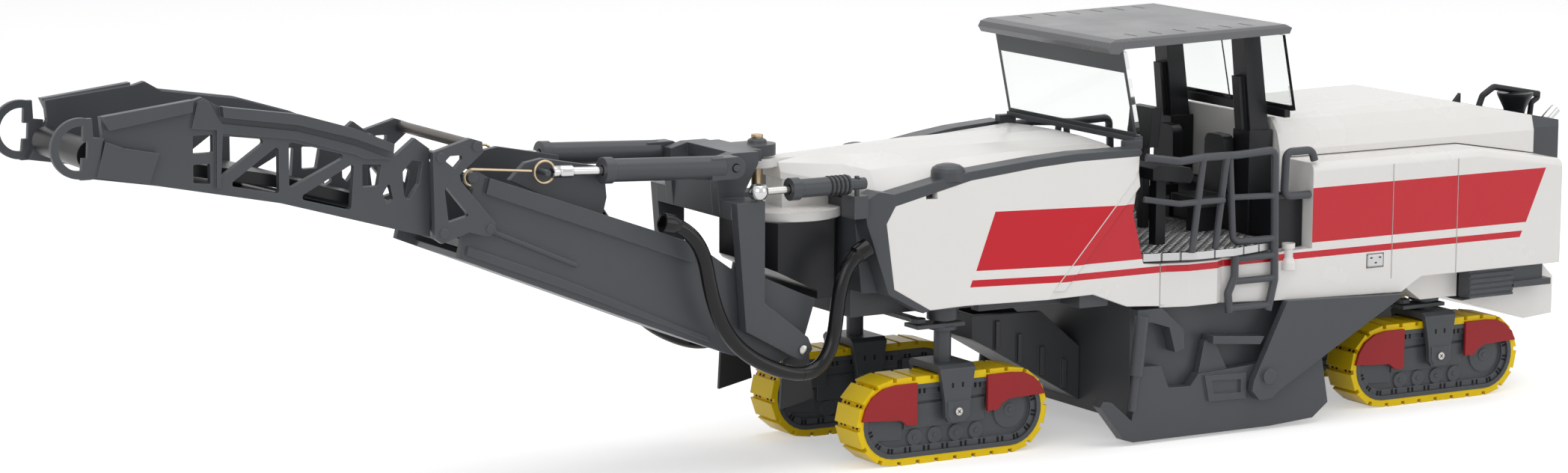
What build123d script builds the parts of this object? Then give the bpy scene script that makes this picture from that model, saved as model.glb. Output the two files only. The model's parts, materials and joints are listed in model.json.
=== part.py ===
from build123d import *
import math
import os

# Large cold planer with a folding discharge conveyor, as a 1:87 plastic display model.
# Millimetres. X runs from the conveyor tip to the engine end, the machine's left side is -Y,
# Z is up from the floor. Stations along X are counted from the front crawlers' centre.

os.makedirs("parts", exist_ok=True)

# Crawlers
crawler_length = 23.0
crawler_height = 9.0
crawler_width = 4.3
crawler_spacing = 17.0
wheelbase = 62.4
shoe_count = 24
shoe_gap = 0.45
shoe_depth = 0.4
belt_wall = 0.75
crawler_pin_z = 5.2
crawler_pin_radius = 0.5
fork_top_z = 10.0
fork_leg = 0.6
fork_gap = 0.25
column_radius = 0.9
sleeve_radius = 1.65
column_play = 0.2
column_engagement = 2.2
steer_plate_thick = 0.4
tie_pin_reach = 3.0
tie_rod_width = 0.9
tie_pin_radius = 0.35
fender_thick = 0.35

# Body
body_half = 14.4
panel_wall = 1.0
body_rear_x = 76.4
rear_box_front_x = 42.4
floor_z = 19.3
floor_thick = 0.8
platform_front_x = 20.7
platform_reach = 1.6
rail_radius = 0.42
bar_radius = 0.36
hood_half = 9.5
hood_top_half = 7.4
rear_cap_length = 4.8
front_block_x = -9.5
front_block_half = 11.9
chassis_half = 6.0
chassis_top_z = 17.6
front_block_top_z = 26.8

# The sides of the front body narrow forwards from a slanting crease
crease_foot = (9.5, 17.1)
crease_head = (19.7, 28.2)
narrowing = 0.2
brow_width = 2.4

# Canopy
roof_front_x = 17.4
roof_rear_x = 40.9
roof_half = 12.1
roof_top_z = 42.6
roof_thick = 1.5
post_y = 7.1
post_width = 2.3
sleeve_width = 2.9
glass_wall = 0.5

# Milling drum and its housing
drum_x = 32.0
drum_z = 4.7
drum_radius = 3.0
drum_shaft_radius = 0.6
housing_front_x = 20.4
housing_rear_x = 44.6
shield_thick = 1.3
housing_wall = 0.9
housing_half = 12.7

# Conveyors, the discharge conveyor's bracket and its cylinders
gather_half = 3.6
kingpin_x = -17.0
kingpin_radius = 0.55
foot_x = -16.74
foot_z = 12.6
foot_radius = 1.15
foot_pin_radius = 0.45
arm_inner = 7.5
arm_top_z = 27.9
arm_thick = 1.3
trough_half = 7.2
trough_wall = 0.7
fold_x = -51.5
fold_z = 27.5
fold_pin_radius = 0.4
bracket_plate = 0.7
side_gap = 0.7
lift_y = 6.6
lift_pin_radius = 0.35
slew_pin_radius = 0.25
eye_play = 0.2
lift_rear = (-23.75, 31.25)
lift_eye = (-44.6, 32.2)
lift_barrel_radius = 1.15
lift_rod_radius = 0.42
lift_barrel_length = 14.6
slew_y = 8.7
slew_base_x = -10.5
slew_eye_x = -21.9
slew_z = 28.9
slew_barrel_radius = 0.95
slew_rod_radius = 0.38
slew_barrel_length = 7.9
tip_x = -92.5
tip_z = 37.8
tip_ring_radius = 2.8
tip_ring_bore = 2.05
hose_radius = 0.75
hose_y = 10.0

rear_axle_x = wheelbase
drum_half = housing_half - 1.4
pieces = {}


def save(piece, name):
    """Keep a finished piece by its name; all are written at the end."""
    pieces[name] = piece.part


def soft_outline(points, plane, radius):
    """A closed face with every corner rounded by the same radius."""
    with BuildSketch(plane) as drawn:
        with BuildLine():
            FilletPolyline(*points, radius=radius, close=True)
        make_face()
    return drawn.sketch


def outline(points, plane):
    """A closed straight-edged face on a plane."""
    with BuildSketch(plane) as drawn:
        with BuildLine():
            Polyline(*points, close=True)
        make_face()
    return drawn.sketch


def side_plane(y):
    """The X-Z plane at a distance from the centre line."""
    return Plane.XZ.offset(-y)


def plates(points, y_inner, thickness, mode=Mode.ADD, sides=(-1, 1)):
    """The same X-Z outline on the left and the right, grown outwards."""
    for side in sides:
        extrude(outline(points, side_plane(side * y_inner)), amount=-side * thickness, mode=mode)


def windows(shapes, y_inner, y_outer, radius):
    """Round-cornered openings through a side wall, on the left and the right."""
    for points in shapes:
        for side in (-1, 1):
            face = soft_outline(points, side_plane(side * y_inner), radius)
            extrude(face, amount=-side * (y_outer - y_inner), mode=Mode.SUBTRACT)


def along(points, x_low, x_high, mode=Mode.ADD):
    """A Y-Z outline that runs along the machine."""
    extrude(outline(points, Plane.YZ.offset(x_low)), amount=x_high - x_low, mode=mode)


def turned(x, y, profile, mode=Mode.ADD):
    """A round piece about an upright axis, from radius and height pairs."""
    with BuildSketch(Plane(origin=(x, y, 0), x_dir=(1, 0, 0), z_dir=(0, -1, 0))) as drawn:
        with BuildLine():
            Polyline(*profile, close=True)
        make_face()
    revolve(drawn.sketch, axis=Axis((x, y, 0), (0, 0, 1)), mode=mode)


def across(points, half, mode=Mode.ADD):
    """An X-Z outline that reaches from side to side."""
    extrude(outline(points, Plane.XZ), amount=half, both=True, mode=mode)


def block(x, y, z, mode=Mode.ADD):
    """A box between low and high limits on each axis."""
    middle = [(low + high) / 2 for low, high in (x, y, z)]
    with Locations(tuple(middle)):
        Box(x[1] - x[0], y[1] - y[0], z[1] - z[0], mode=mode)


def pair(x, y, z, mode=Mode.ADD):
    """A box on the right side and its mirror on the left."""
    block(x, y, z, mode)
    block(x, (-y[1], -y[0]), z, mode)


def disc(x, z, y, thickness, radius, mode=Mode.ADD, sides=(-1, 1)):
    """A short cylinder across the machine, grown outwards from y on each side."""
    for side in sides:
        with BuildSketch(side_plane(side * y)) as drawn:
            with Locations((x, z)):
                Circle(radius)
        extrude(drawn.sketch, amount=-side * thickness, mode=mode)


def post(x, y, z_low, z_high, radius, mode=Mode.ADD):
    """An upright round bar."""
    with BuildSketch(Plane.XY.offset(z_low)) as drawn:
        with Locations((x, y)):
            Circle(radius)
    extrude(drawn.sketch, amount=z_high - z_low, mode=mode)


def rod(start, end, radius, mode=Mode.ADD):
    """A straight round bar between two points."""
    way = Vector(*end) - Vector(*start)
    with BuildSketch(Plane(origin=start, z_dir=way)) as drawn:
        Circle(radius)
    extrude(drawn.sketch, amount=way.length, mode=mode)


def tube(points, radius, bend):
    """A bent round bar along straight runs with equal bends."""
    with BuildLine() as route:
        FilletPolyline(*points, radius=bend)
    with BuildSketch(Plane(origin=route.line @ 0, z_dir=route.line % 0)) as drawn:
        Circle(radius)
    sweep(drawn.sketch, path=route.line)


def narrowed_plane(side, inset=0.0):
    """The narrowing front part of a body side, moved inwards by an inset."""
    run = (crease_head[0] - crease_foot[0]) / (crease_head[1] - crease_foot[1])
    return Plane(origin=(crease_foot[0], side * (body_half - inset), crease_foot[1]),
                 z_dir=(-narrowing, side, narrowing * run))


def side_skins(points, thickness):
    """An X-Z outline as a skin that follows the narrowing sides, left and right."""
    skins = []
    for side in (-1, 1):
        with BuildPart() as solid:
            plates(points, 3.0, body_half - 3.0, sides=(side,))
            split(bisect_by=narrowed_plane(side), keep=Keep.BOTTOM)
        skins.append(solid.part - Pos(0, -side * thickness, 0) * solid.part)
    return skins


# Crawlers: each is a shoe loop, its frame, two fenders and a fork with the steering column

track_radius = crawler_height / 2
track_reach = crawler_length / 2 - track_radius
loop_radius = track_radius - shoe_depth
loop_length = 4 * track_reach + 2 * math.pi * loop_radius


def loop_point(distance, height):
    """A point along the crawler loop, at a height above the band."""
    distance = distance % loop_length
    half_turn = math.pi * loop_radius
    radius = loop_radius + height
    if distance < 2 * track_reach:
        return (-track_reach + distance, track_radius + radius)
    distance -= 2 * track_reach
    if distance < half_turn:
        turn = distance / loop_radius
        return (track_reach + radius * math.sin(turn), track_radius + radius * math.cos(turn))
    distance -= half_turn
    if distance < 2 * track_reach:
        return (track_reach - distance, track_radius - radius)
    turn = (distance - 2 * track_reach) / loop_radius
    return (-track_reach - radius * math.sin(turn), track_radius - radius * math.cos(turn))


def shoe_outline():
    """The loop's outer edge: one flat raised shoe after another, with grooves between."""
    pitch = loop_length / shoe_count
    points = []
    for shoe in range(shoe_count):
        start = shoe * pitch + shoe_gap / 2
        end = (shoe + 1) * pitch - shoe_gap / 2
        points += [loop_point(start, 0), loop_point(start, shoe_depth)]
        points += [loop_point(end, shoe_depth), loop_point(end, 0)]
    return points


# rollers, sprocket and idler in the frame's outer relief: station, height, radius and stand-out
wheels = [(-4.4, 2.7, 0.85, 0.2), (-1.95, 2.7, 0.85, 0.2), (0.6, 2.7, 0.85, 0.2),
          (3.05, 2.7, 0.85, 0.2), (7.1, 4.45, 1.9, 0.2), (7.1, 4.45, 0.7, 0.3)]
panels = [[(-5.7, 3.65), (4.0, 3.75), (4.0, 6.1), (-5.7, 6.1)],
          [(-9.8, 2.8), (-6.0, 2.6), (-6.0, 4.9), (-9.8, 4.8)],
          [(-5.0, 6.4), (4.2, 6.4), (4.2, 7.3), (-5.0, 7.3)]]
fender_feet = [[(-9.4, 5.2), (-4.8, 5.2), (-4.8, 7.2), (-8.4, 7.2)],
               [(9.4, 6.0), (4.6, 6.0), (4.6, 7.3), (8.4, 7.3)]]
fender_edge = track_radius - shoe_depth - 0.15
fender_front = [(-11.0, 5.0), (-10.6, 6.3), (-9.8, 7.4), (-8.5, 8.15), (-7.0, 8.4), (-4.5, 8.4),
                (-4.5, 4.1), (-5.7, 4.15), (-6.5, 4.75)]
fender_rear = [(11.0, 5.9), (10.5, 6.9), (9.6, 7.8), (8.5, 8.3), (7.0, 8.45), (4.0, 8.45),
               (4.0, 4.7), (5.3, 4.75), (5.7, 5.3), (6.6, 5.75)]
fork_leg_outline = [(-2.1, fork_top_z - 0.4), (2.1, fork_top_z - 0.4), (1.55, 6.3), (1.45, 4.7),
                    (1.0, 4.1), (-1.0, 4.1), (-1.4, 4.7), (-1.5, 6.3)]
fork_boss = [(-1.2, 6.2), (1.3, 6.2), (1.25, 4.8), (0.8, 4.2), (-0.8, 4.2), (-1.2, 4.8)]

# axle: name, station, height of the steering plate, underside of the sleeve
axles = [("front", 0.0, 13.6, 14.3), ("rear", rear_axle_x, 10.3, 11.0)]
frame_half = crawler_width / 2 - 0.55
leg_y = crawler_width / 2 + fork_gap

for end, x, plate_z, sleeve_z in axles:
    for hand, side in (("left", -1), ("right", 1)):
        label = end + "_" + hand
        y_mid = side * crawler_spacing / 2
        middle = Plane(origin=(x, y_mid, 0), x_dir=(1, 0, 0), z_dir=(0, -1, 0))
        outer = middle.offset(-side * crawler_width / 2)

        with BuildPart() as loop:
            extrude(outline(shoe_outline(), middle), amount=crawler_width / 2, both=True)
            with BuildSketch(middle) as hollow:
                with Locations((0, track_radius)):
                    SlotCenterToCenter(2 * track_reach, 2 * (loop_radius - belt_wall))
            extrude(hollow.sketch, amount=crawler_width, both=True, mode=Mode.SUBTRACT)
        save(loop, "track_loop_" + label)

        with BuildPart() as frame:
            with BuildSketch(middle) as core:
                with Locations((0, track_radius)):
                    SlotCenterToCenter(2 * track_reach, 2 * (loop_radius - belt_wall - 0.05))
            extrude(core.sketch, amount=frame_half, both=True)
            with BuildSketch(middle) as chain:
                with Locations((0, track_radius)):
                    SlotCenterToCenter(2 * track_reach, 2 * (loop_radius - belt_wall - 0.05))
                    SlotCenterToCenter(2 * track_reach, 2 * (loop_radius - belt_wall - 0.75),
                                       mode=Mode.SUBTRACT)
            extrude(chain.sketch, amount=frame_half + 0.35, both=True)
            for wheel_x, wheel_z, wheel_radius, stand_out in wheels:
                with BuildSketch(middle) as wheel:
                    with Locations((wheel_x, wheel_z)):
                        Circle(wheel_radius)
                extrude(wheel.sketch, amount=frame_half + stand_out, both=True)
            for points in panels:
                extrude(outline(points, middle), amount=frame_half + 0.25, both=True)
            for points in fender_feet:
                extrude(outline(points, middle), amount=crawler_width / 2, both=True)
            with BuildSketch(middle) as pin_bore:
                with Locations((0, crawler_pin_z)):
                    Circle(crawler_pin_radius + 0.1)
            extrude(pin_bore.sketch, amount=crawler_width, both=True, mode=Mode.SUBTRACT)
        save(frame, "track_frame_" + label)

        with BuildPart() as fenders:
            for points in (fender_front, fender_rear):
                extrude(outline(points, outer), amount=-side * fender_thick)
        save(fenders, "fenders_" + label)

        with BuildPart() as fork:
            for leg in (-1, 1):
                flat = middle.offset(-leg * leg_y)
                extrude(outline(fork_leg_outline, flat), amount=-leg * fork_leg)
            reach = leg_y + fork_leg
            along([(y_mid - reach, crawler_height + fork_gap), (y_mid + reach, crawler_height + fork_gap),
                   (y_mid + reach, fork_top_z - 0.4), (y_mid + reach - 0.5, fork_top_z),
                   (y_mid - reach + 0.5, fork_top_z), (y_mid - reach, fork_top_z - 0.4)],
                  x - 2.1, x + 2.1)
            for leg in (-1, 1):
                extrude(outline(fork_boss, middle.offset(-leg * reach)), amount=-leg * 0.15)
            post(x, y_mid, fork_top_z, sleeve_z + column_engagement, column_radius)
            block((x - tie_pin_reach - 0.8, x + 1.9), (y_mid - 1.3, y_mid + 1.3),
                  (plate_z, plate_z + steer_plate_thick))
            post(x - tie_pin_reach, y_mid, plate_z, plate_z + 1.0, tie_pin_radius)
            with BuildSketch(middle) as pin:
                with Locations((0, crawler_pin_z)):
                    Circle(crawler_pin_radius)
            extrude(pin.sketch, amount=leg_y + fork_leg + 0.3, both=True)
            if end == "front":
                post(x, y_mid, plate_z - 0.35, plate_z, 1.5)
        save(fork, "fork_" + label)

    rod_low = plate_z + steer_plate_thick + 0.1
    with BuildPart() as tie_rod:
        block((x - tie_pin_reach - tie_rod_width / 2, x - tie_pin_reach + tie_rod_width / 2),
              (-crawler_spacing / 2 - 0.8, crawler_spacing / 2 + 0.8), (rod_low, rod_low + 0.45))
        for side in (-1, 1):
            post(x - tie_pin_reach, side * crawler_spacing / 2, rod_low, rod_low + 0.45, 0.8)
            post(x - tie_pin_reach, side * crawler_spacing / 2, rod_low - 1, rod_low + 2,
                 tie_pin_radius + 0.1, Mode.SUBTRACT)
    save(tie_rod, "tie_rod_" + end)

# Chassis under the body: front block, keel, cross members and the four column sleeves

with BuildPart() as chassis:
    block((front_block_x, front_block_x + 5), (-front_block_half, front_block_half),
          (chassis_top_z, front_block_top_z))
    for side in (-1, 1):
        split(bisect_by=narrowed_plane(side, brow_width), keep=Keep.BOTTOM)
    block((front_block_x, 20.2), (-chassis_half, chassis_half), (14.8, 19.0))
    block((-2.4, 2.4), (-10.6, 10.6), (15.6, 18.0))
    pair((3.5, 17.0), (8.4, 9.8), (14.9, 16.2))
    pair((13.5, 17.0), (5.9, 13.4), (14.9, 16.4))
    for side in (-1, 1):
        with BuildSketch(Plane.YZ.offset(front_block_x)) as boss:
            with Locations((side * 6.1, 20.5)):
                Circle(1.0)
        extrude(boss.sketch, amount=-0.4)
    for side in (-1, 1):
        block((slew_base_x - 0.6, front_block_x),
              (side * (slew_y - 0.65) - 1.25, side * (slew_y - 0.65) + 1.25), (25.4, slew_z - 1.2))
        post(slew_base_x, side * slew_y, slew_z - 1.3, slew_z + 0.8, slew_pin_radius)
    block((44.8, 65.3), (-5.2, 5.2), (11.9, 14.9))
    for end, x, plate_z, sleeve_z in axles:
        top = 16.0 if end == "front" else 12.1
        for side in (-1, 1):
            post(x, side * crawler_spacing / 2, sleeve_z, top, sleeve_radius)
            post(x, side * crawler_spacing / 2, sleeve_z - 1, sleeve_z + column_engagement + 0.2,
                 column_radius + column_play, Mode.SUBTRACT)
    pair((rear_axle_x - 1.8, rear_axle_x + 1.8), (5.0, 10.2), (11.5, 13.6))
    for side in (-1, 1):
        post(rear_axle_x, side * crawler_spacing / 2, 10, 11.0 + column_engagement + 0.2,
             column_radius + column_play, Mode.SUBTRACT)
save(chassis, "chassis_frame")

# White front body: side panels, deck with its raised spine, and the neck with its disc

panel = [(-7.3, 18.2), (-3.7, 15.95), (0.0, 16.2), (14.5, 16.4), (18.7, 14.8), (22.8, 14.5),
         (22.8, 18.9), (20.7, 19.1), (19.3, 24.5), (20.2, 30.25), (13.5, 30.0), (9.1, 29.6),
         (1.8, 28.6), (-6.4, 26.4), (-7.5, 24.7)]
crease_strip = [(9.5, 17.1), (10.9, 17.1), (20.0, 27.2), (19.8, 28.7), (19.7, 28.2)]
with BuildPart() as side_panels:
    for skin in side_skins(panel, panel_wall):
        add(skin)
    plates(crease_strip, body_half - 0.1, 0.3)
    pair((-3.1, -1.9), (8.4, 10.8), (26.95, 27.65), Mode.SUBTRACT)
save(side_panels, "side_panels")

# deck stations: X, bottom, then half width and height from the edge to the middle
deck_stations = [
    (-15.4, 28.9, [(1.9, 29.6), (1.5, 30.5), (0.9, 30.95), (0.0, 31.0)]),
    (-9.4, 27.2, [(5.0, 28.3), (3.7, 30.2), (2.0, 31.0), (0.0, 31.2)]),
    (-6.8, 27.0, [(6.7, 27.3), (5.2, 29.6), (2.9, 31.0), (0.0, 31.4)]),
    (1.8, 27.0, [(8.1, 29.1), (6.4, 30.3), (3.6, 31.25), (0.0, 31.5)]),
    (9.1, 27.0, [(9.4, 30.0), (7.4, 30.7), (4.2, 31.25), (0.0, 31.45)]),
    (19.2, 27.0, [(11.4, 30.6), (9.0, 31.1), (5.0, 31.35), (0.0, 31.45)]),
]
with BuildPart() as deck_neck:
    for near, far in zip(deck_stations, deck_stations[1:]):
        faces = []
        for x, bottom, side_points in (near, far):
            right = [(y, z) for y, z in side_points]
            left = [(-y, z) for y, z in reversed(side_points[:-1])]
            ring = [(side_points[0][0], bottom)] + right + left + [(-side_points[0][0], bottom)]
            faces.append(outline(ring, Plane.YZ.offset(x)))
        loft(faces, ruled=True)
    post(kingpin_x, 0, 30.05, 31.0, 1.9)
    block((kingpin_x, -13.0), (-1.4, 1.4), (30.05, 30.9))
    post(-14.0, 0, 25.0, 25.9, 6.0)
    block((-15.0, -9.0), (-1.6, 1.6), (25.0, 29.4))
    post(kingpin_x, 0, 29, 32, kingpin_radius + 0.15, Mode.SUBTRACT)
    block((front_block_x, -4), (-7, 7), (24, front_block_top_z), Mode.SUBTRACT)
save(deck_neck, "deck_neck")

brow = [(-6.4, 26.4), (1.8, 28.6), (9.1, 29.6), (13.5, 30.0), (20.2, 30.25), (20.5, 30.5),
        (20.4, 31.0), (13.5, 30.8), (9.1, 30.4), (1.8, 29.5), (-6.4, 27.6), (-8.0, 27.9)]
fascia = [(-6.4, 26.4), (-7.5, 24.7), (-7.3, 18.2), (-3.7, 15.95), (-4.5, 15.7), (-7.9, 17.7),
          (-9.5, 24.6), (-9.7, 26.9), (-8.0, 27.9)]
lamp_profile = [(0, 28.6), (1.75, 28.6), (1.75, 29.5), (1.6, 29.85), (1.2, 30.1), (0.6, 30.25),
                (0, 30.25)]
with BuildPart() as trim:
    for skin in side_skins(brow, brow_width) + side_skins(fascia, brow_width):
        add(skin)
    for side in (-1, 1):
        turned(0.2, side * 8.9, lamp_profile)
    pair((19.8, 21.9), (11.3, 12.2), (30.7, 31.6))
    block((21.1, 22.1), (-11.9, 11.9), (31.35, 31.9))
    add(deck_neck.part, mode=Mode.SUBTRACT)
    add(chassis.part, mode=Mode.SUBTRACT)
save(trim, "trim_frames")

hopper_plan = [(-20.0, -2.4), (-17.8, -5.6), (-11.2, -5.6), (front_block_x, -3.4),
               (front_block_x, 3.4), (-11.2, 5.6), (-17.8, 5.6), (-20.0, 2.4)]
with BuildPart() as hopper:
    extrude(outline(hopper_plan, Plane.XY.offset(17.0)), amount=8.0)
    across([(-21, 16), (-13.2, 16), (-13.2, 17.8), (-20.6, 21.4), (-21, 21.4)], 9,
           Mode.SUBTRACT)
save(hopper, "transfer_hopper")

# Rear body: wide side boxes with the hood on them, sloping down at the engine end

rear_side = [(rear_box_front_x, 19.0), (38.5, 19.0), (38.5, 18.9), (22.9, 18.9), (22.9, 14.6),
             (37.9, 13.8), (54.5, 13.3), (57.2, 14.8), (body_rear_x, 14.8), (body_rear_x, 26.2),
             (65.4, 28.0), (rear_box_front_x, 28.0)]
rear_core = [(22.9, 14.6), (44.8, 14.6), (44.8, 14.9), (body_rear_x, 14.9), (body_rear_x, 26.2),
             (65.4, 28.0), (rear_box_front_x, 28.0), (rear_box_front_x, 18.9), (22.9, 18.9)]
skirt_plan = [(22.9, body_half - 0.2), (25.9, body_half + 0.7), (29.6, body_half + 0.7),
              (31.0, body_half - 0.2)]
leg_block = [(57.2, 13.9), (58.2, 12.7), (59.9, 11.5), (64.9, 11.5), (64.9, 15.0), (57.2, 15.0)]
fitting = [(0, 17.0), (0.85, 17.0), (0.85, 17.8), (0.5, 18.3), (0.5, 19.1), (0.7, 19.3), (0.7, 19.8),
           (0, 19.8)]
with BuildPart() as rear_body:
    plates(rear_side, body_half - 1.6, 1.6)
    across(rear_core, body_half - 1.6)
    side_edges = [edge for edge in rear_body.edges()
                  if abs(abs(edge.center().Y) - body_half) < 0.01 and edge.center().Z > 25
                  and edge.length > 5 and abs(edge.bounding_box().size.X) > 5]
    fillet(side_edges, 0.9)
    plates(leg_block, 5.2, 5.8)
    for side in (-1, 1):
        extrude(outline([(x, side * y) for x, y in skirt_plan], Plane.XY.offset(14.3)), amount=4.6)
        turned(rear_box_front_x - 3.1, side * body_half, fitting)
    for line_x in (53.1, 61.9):
        pair((line_x - 0.07, line_x + 0.07), (body_half - 0.12, body_half + 0.1), (14.9, 27.2),
             Mode.SUBTRACT)
    pair((rear_axle_x - 1.8, rear_axle_x + 1.8), (5.0, 10.2), (11.4, 13.6), Mode.SUBTRACT)
save(rear_body, "rear_body")

hood_profile = [(41.6, 24.4), (41.6, 32.2), (64.0, 32.8), (body_rear_x, 30.4),
                (body_rear_x, 26.3), (65.4, 28.1), (42.3, 28.1), (42.3, 24.4)]
with BuildPart() as hood:
    across(hood_profile, hood_half)
    hood_end = [(-hood_half, 24.0), (-hood_half, 28.8), (-hood_half + 0.5, 30.6),
                (-hood_top_half - 0.7, 31.9), (-hood_top_half + 0.4, 32.7), (-hood_top_half + 2.4, 33.1),
                (hood_top_half - 2.4, 33.1), (hood_top_half - 0.4, 32.7), (hood_top_half + 0.7, 31.9),
                (hood_half - 0.5, 30.6), (hood_half, 28.8), (hood_half, 24.0)]
    along(hood_end, 41.0, 77.0, Mode.INTERSECT)
save(hood, "engine_hood")

cap_half = 8.0
cap_end_x = body_rear_x + rear_cap_length
cap_profile = [(body_rear_x, 26.3), (body_rear_x, 30.4), (cap_end_x + 2.4, 29.0),
               (cap_end_x + 3.2, 28.0), (cap_end_x + 2.4, 25.9), (body_rear_x + 1.4, 22.6),
               (body_rear_x, 22.6)]
cap_plan = [(body_rear_x, -cap_half), (cap_end_x, -cap_half), (cap_end_x + 2.4, -cap_half + 3.0),
            (cap_end_x + 3.2, 0), (cap_end_x + 2.4, cap_half - 3.0), (cap_end_x, cap_half),
            (body_rear_x, cap_half)]
cap_cross = [(-cap_half, 22.0), (-cap_half, 28.85), (-cap_half + 1.2, 30.5), (cap_half - 1.2, 30.5),
             (cap_half, 28.85), (cap_half, 22.0)]
with BuildPart() as rear_cap:
    across(cap_profile, cap_half)
    extrude(outline(cap_plan, Plane.XY.offset(20.0)), amount=12.0, mode=Mode.INTERSECT)
    along(cap_cross, body_rear_x - 0.5, cap_end_x + 4.0, Mode.INTERSECT)
save(rear_cap, "rear_cap")

with BuildPart() as guard:
    tube([(76.2, 0, 29.8), (76.9, 0, 31.5), (78.5, 0, 32.4), (85.0, 0, 31.2)], 0.36, 0.6)
    tube([(84.6, 0.0, 31.27), (85.3, 0, 31.0), (84.0, 0, 30.3), (83.8, 0, 28.6)], 0.32, 0.3)
    turned(81.6, 0, [(0, 28.8), (1.0, 28.8), (1.3, 29.9), (2.0, 31.3), (2.05, 31.6), (0, 31.6)])
    across([(72.3, 30.6), (73.6, 30.6), (73.6, 32.0)], 0.25)
    add(rear_cap.part, mode=Mode.SUBTRACT)
    add(hood.part, mode=Mode.SUBTRACT)
save(guard, "exhaust_guard")

with BuildPart() as pipes:
    for side in (-1, 1):
        rod((82.6, side * 3.1, 28.0), (84.9, side * 3.1, 29.9), 0.6)
    add(rear_cap.part, mode=Mode.SUBTRACT)
save(pipes, "exhaust_pipes")

with BuildPart() as counterweight:
    across([(72.8, 14.7), (72.8, 11.4), (65.6, 10.9), (74.4, 8.2), (78.4, 8.5), (78.4, 12.6),
            (77.0, 14.0), (76.4, 14.7)], 11.0)
save(counterweight, "counterweight")

with BuildPart() as lockers:
    pair((65.0, 71.0), (11.2, 13.2), (11.5, 14.7))
    for rib in range(5):
        pair((65.0, 71.0), (13.05, 13.35), (11.75 + rib * 0.6, 12.0 + rib * 0.6), Mode.SUBTRACT)
    pair((71.1, 76.3), (11.2, 13.2), (12.2, 12.9))
    pair((71.1, 75.4), (11.2, 12.8), (12.9, 14.7))
    pair((65.6, 72.7), (9.2, 11.1), (11.5, 14.7))
save(lockers, "rear_lockers")

# Operator platform: tread floor, rails with gates and ladders, seats and bulkheads

floor_plan = [(platform_front_x, 0), (platform_front_x, -body_half), (26.3, -body_half - platform_reach),
              (31.0, -body_half - platform_reach), (37.6, -body_half), (38.3, -12.0), (38.3, 0)]
with BuildPart() as floor:
    extrude(outline(floor_plan, Plane.XY.offset(floor_z)), amount=floor_thick)
    extrude(outline([(x, -y) for x, y in floor_plan], Plane.XY.offset(floor_z)),
            amount=floor_thick)
    for slot_x, edge_y in ((22.6, 14.94), (24.6, 15.51), (28.6, 16.0), (32.6, 15.61), (35.0, 15.03)):
        pair((slot_x - 0.12, slot_x + 0.12), (edge_y - 0.35, edge_y + 1.0),
             (floor_z - 0.5, floor_z + 1.5), Mode.SUBTRACT)
save(floor, "platform_floor")

rail_y = body_half + 0.6
rail_low_z = floor_z + floor_thick
with BuildPart() as rails:
    for side in (-1, 1):
        y = side * rail_y
        out = side * (rail_y + 1.0)
        tube([(20.4, y, 30.2), (23.9, out, 29.7), (27.0, out, 29.9), (31.9, y, 29.7),
              (36.8, y, 29.9), (37.1, y, 16.2), (36.3, y, 13.0)], rail_radius, 0.7)
        tube([(20.2, y, 25.9), (23.9, out, 25.3), (29.6, out, 25.3)], bar_radius - 0.04, 0.6)
        rod((26.9, out, 29.8), (25.6, out, rail_low_z - 0.3), bar_radius)
        rod((30.3, side * (rail_y + 0.4), 29.6), (29.0, side * (rail_y + 0.4), rail_low_z - 0.3),
            bar_radius)
        tube([(31.0, y, 29.7), (31.6, y, 20.6), (36.9, y, 20.6)], bar_radius, 0.7)
        rod((31.4, y, 25.3), (36.8, y, 25.1), bar_radius - 0.04)
        tube([(31.9, y, floor_z - 0.1), (31.9, y, 16.9), (31.1, y, 15.2), (31.3, y, 13.2)],
             rail_radius, 0.5)
        for step_z, step_low, step_high in ((18.8, 31.9, 37.0), (16.4, 31.7, 37.0),
                                            (13.6, 31.3, 36.4)):
            rod((step_low, y, step_z), (step_high, y, step_z), bar_radius)
        edge = side * (body_half - 0.45)
        tube([(42.8, edge, 28.3), (42.4, edge, 29.4), (39.1, edge, 29.4), (38.9, edge, 24.7),
              (42.2, edge, 24.7)], rail_radius, 0.8)
    pair((24.5, 30.4), (rail_y - 1, rail_y + 2), (rail_low_z - 1, rail_low_z), Mode.SUBTRACT)
save(rails, "guard_rails")

console = [(23.6, 27.2), (28.4, 26.6), (28.8, 27.3), (28.4, 28.2), (24.4, 28.8), (23.6, 28.4)]
with BuildPart() as station:
    block((19.3, 20.3), (-12.9, 12.9), (floor_z, 30.2))
    pair((38.6, 42.3), (post_y + sleeve_width / 2 + 0.1, body_half - 1.7), (floor_z - 0.2, 24.2))
    post_gap = post_y - sleeve_width / 2 - 0.1
    block((38.6, 41.5), (-post_gap, post_gap), (floor_z - 0.2, 24.3))
    block((22.0, 25.5), (-3.4, 3.4), (rail_low_z, 25.0))
    block((22.4, 26.4), (-4.6, 4.6), (25.0, 27.0))
    plates(console, 8.4, 3.4)
    pair((24.9, 26.1), (9.4, 10.6), (rail_low_z, 27.2))
    block((30.4, 31.2), (-0.5, 0.5), (rail_low_z, 29.4))
    across([(30.0, 29.0), (31.2, 29.0), (31.6, 33.2), (30.4, 33.2)], 2.0)
    for side in (-1, 1):
        y = side * 4.6
        block((32.6, 37.2), (y - 2.1, y + 2.1), (22.9, 24.1))
        extrude(soft_outline([(y - 1.9, 24.1), (y + 1.9, 24.1), (y + 1.7, 30.4), (y - 1.7, 30.4)],
                             Plane.YZ.offset(36.6), 0.9), amount=1.3)
        block((33.8, 36.2), (y - 0.9, y + 0.9), (rail_low_z, 22.9))
save(station, "operator_station")

# Canopy: roof, two telescopic posts, windscreen and rear window

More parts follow.
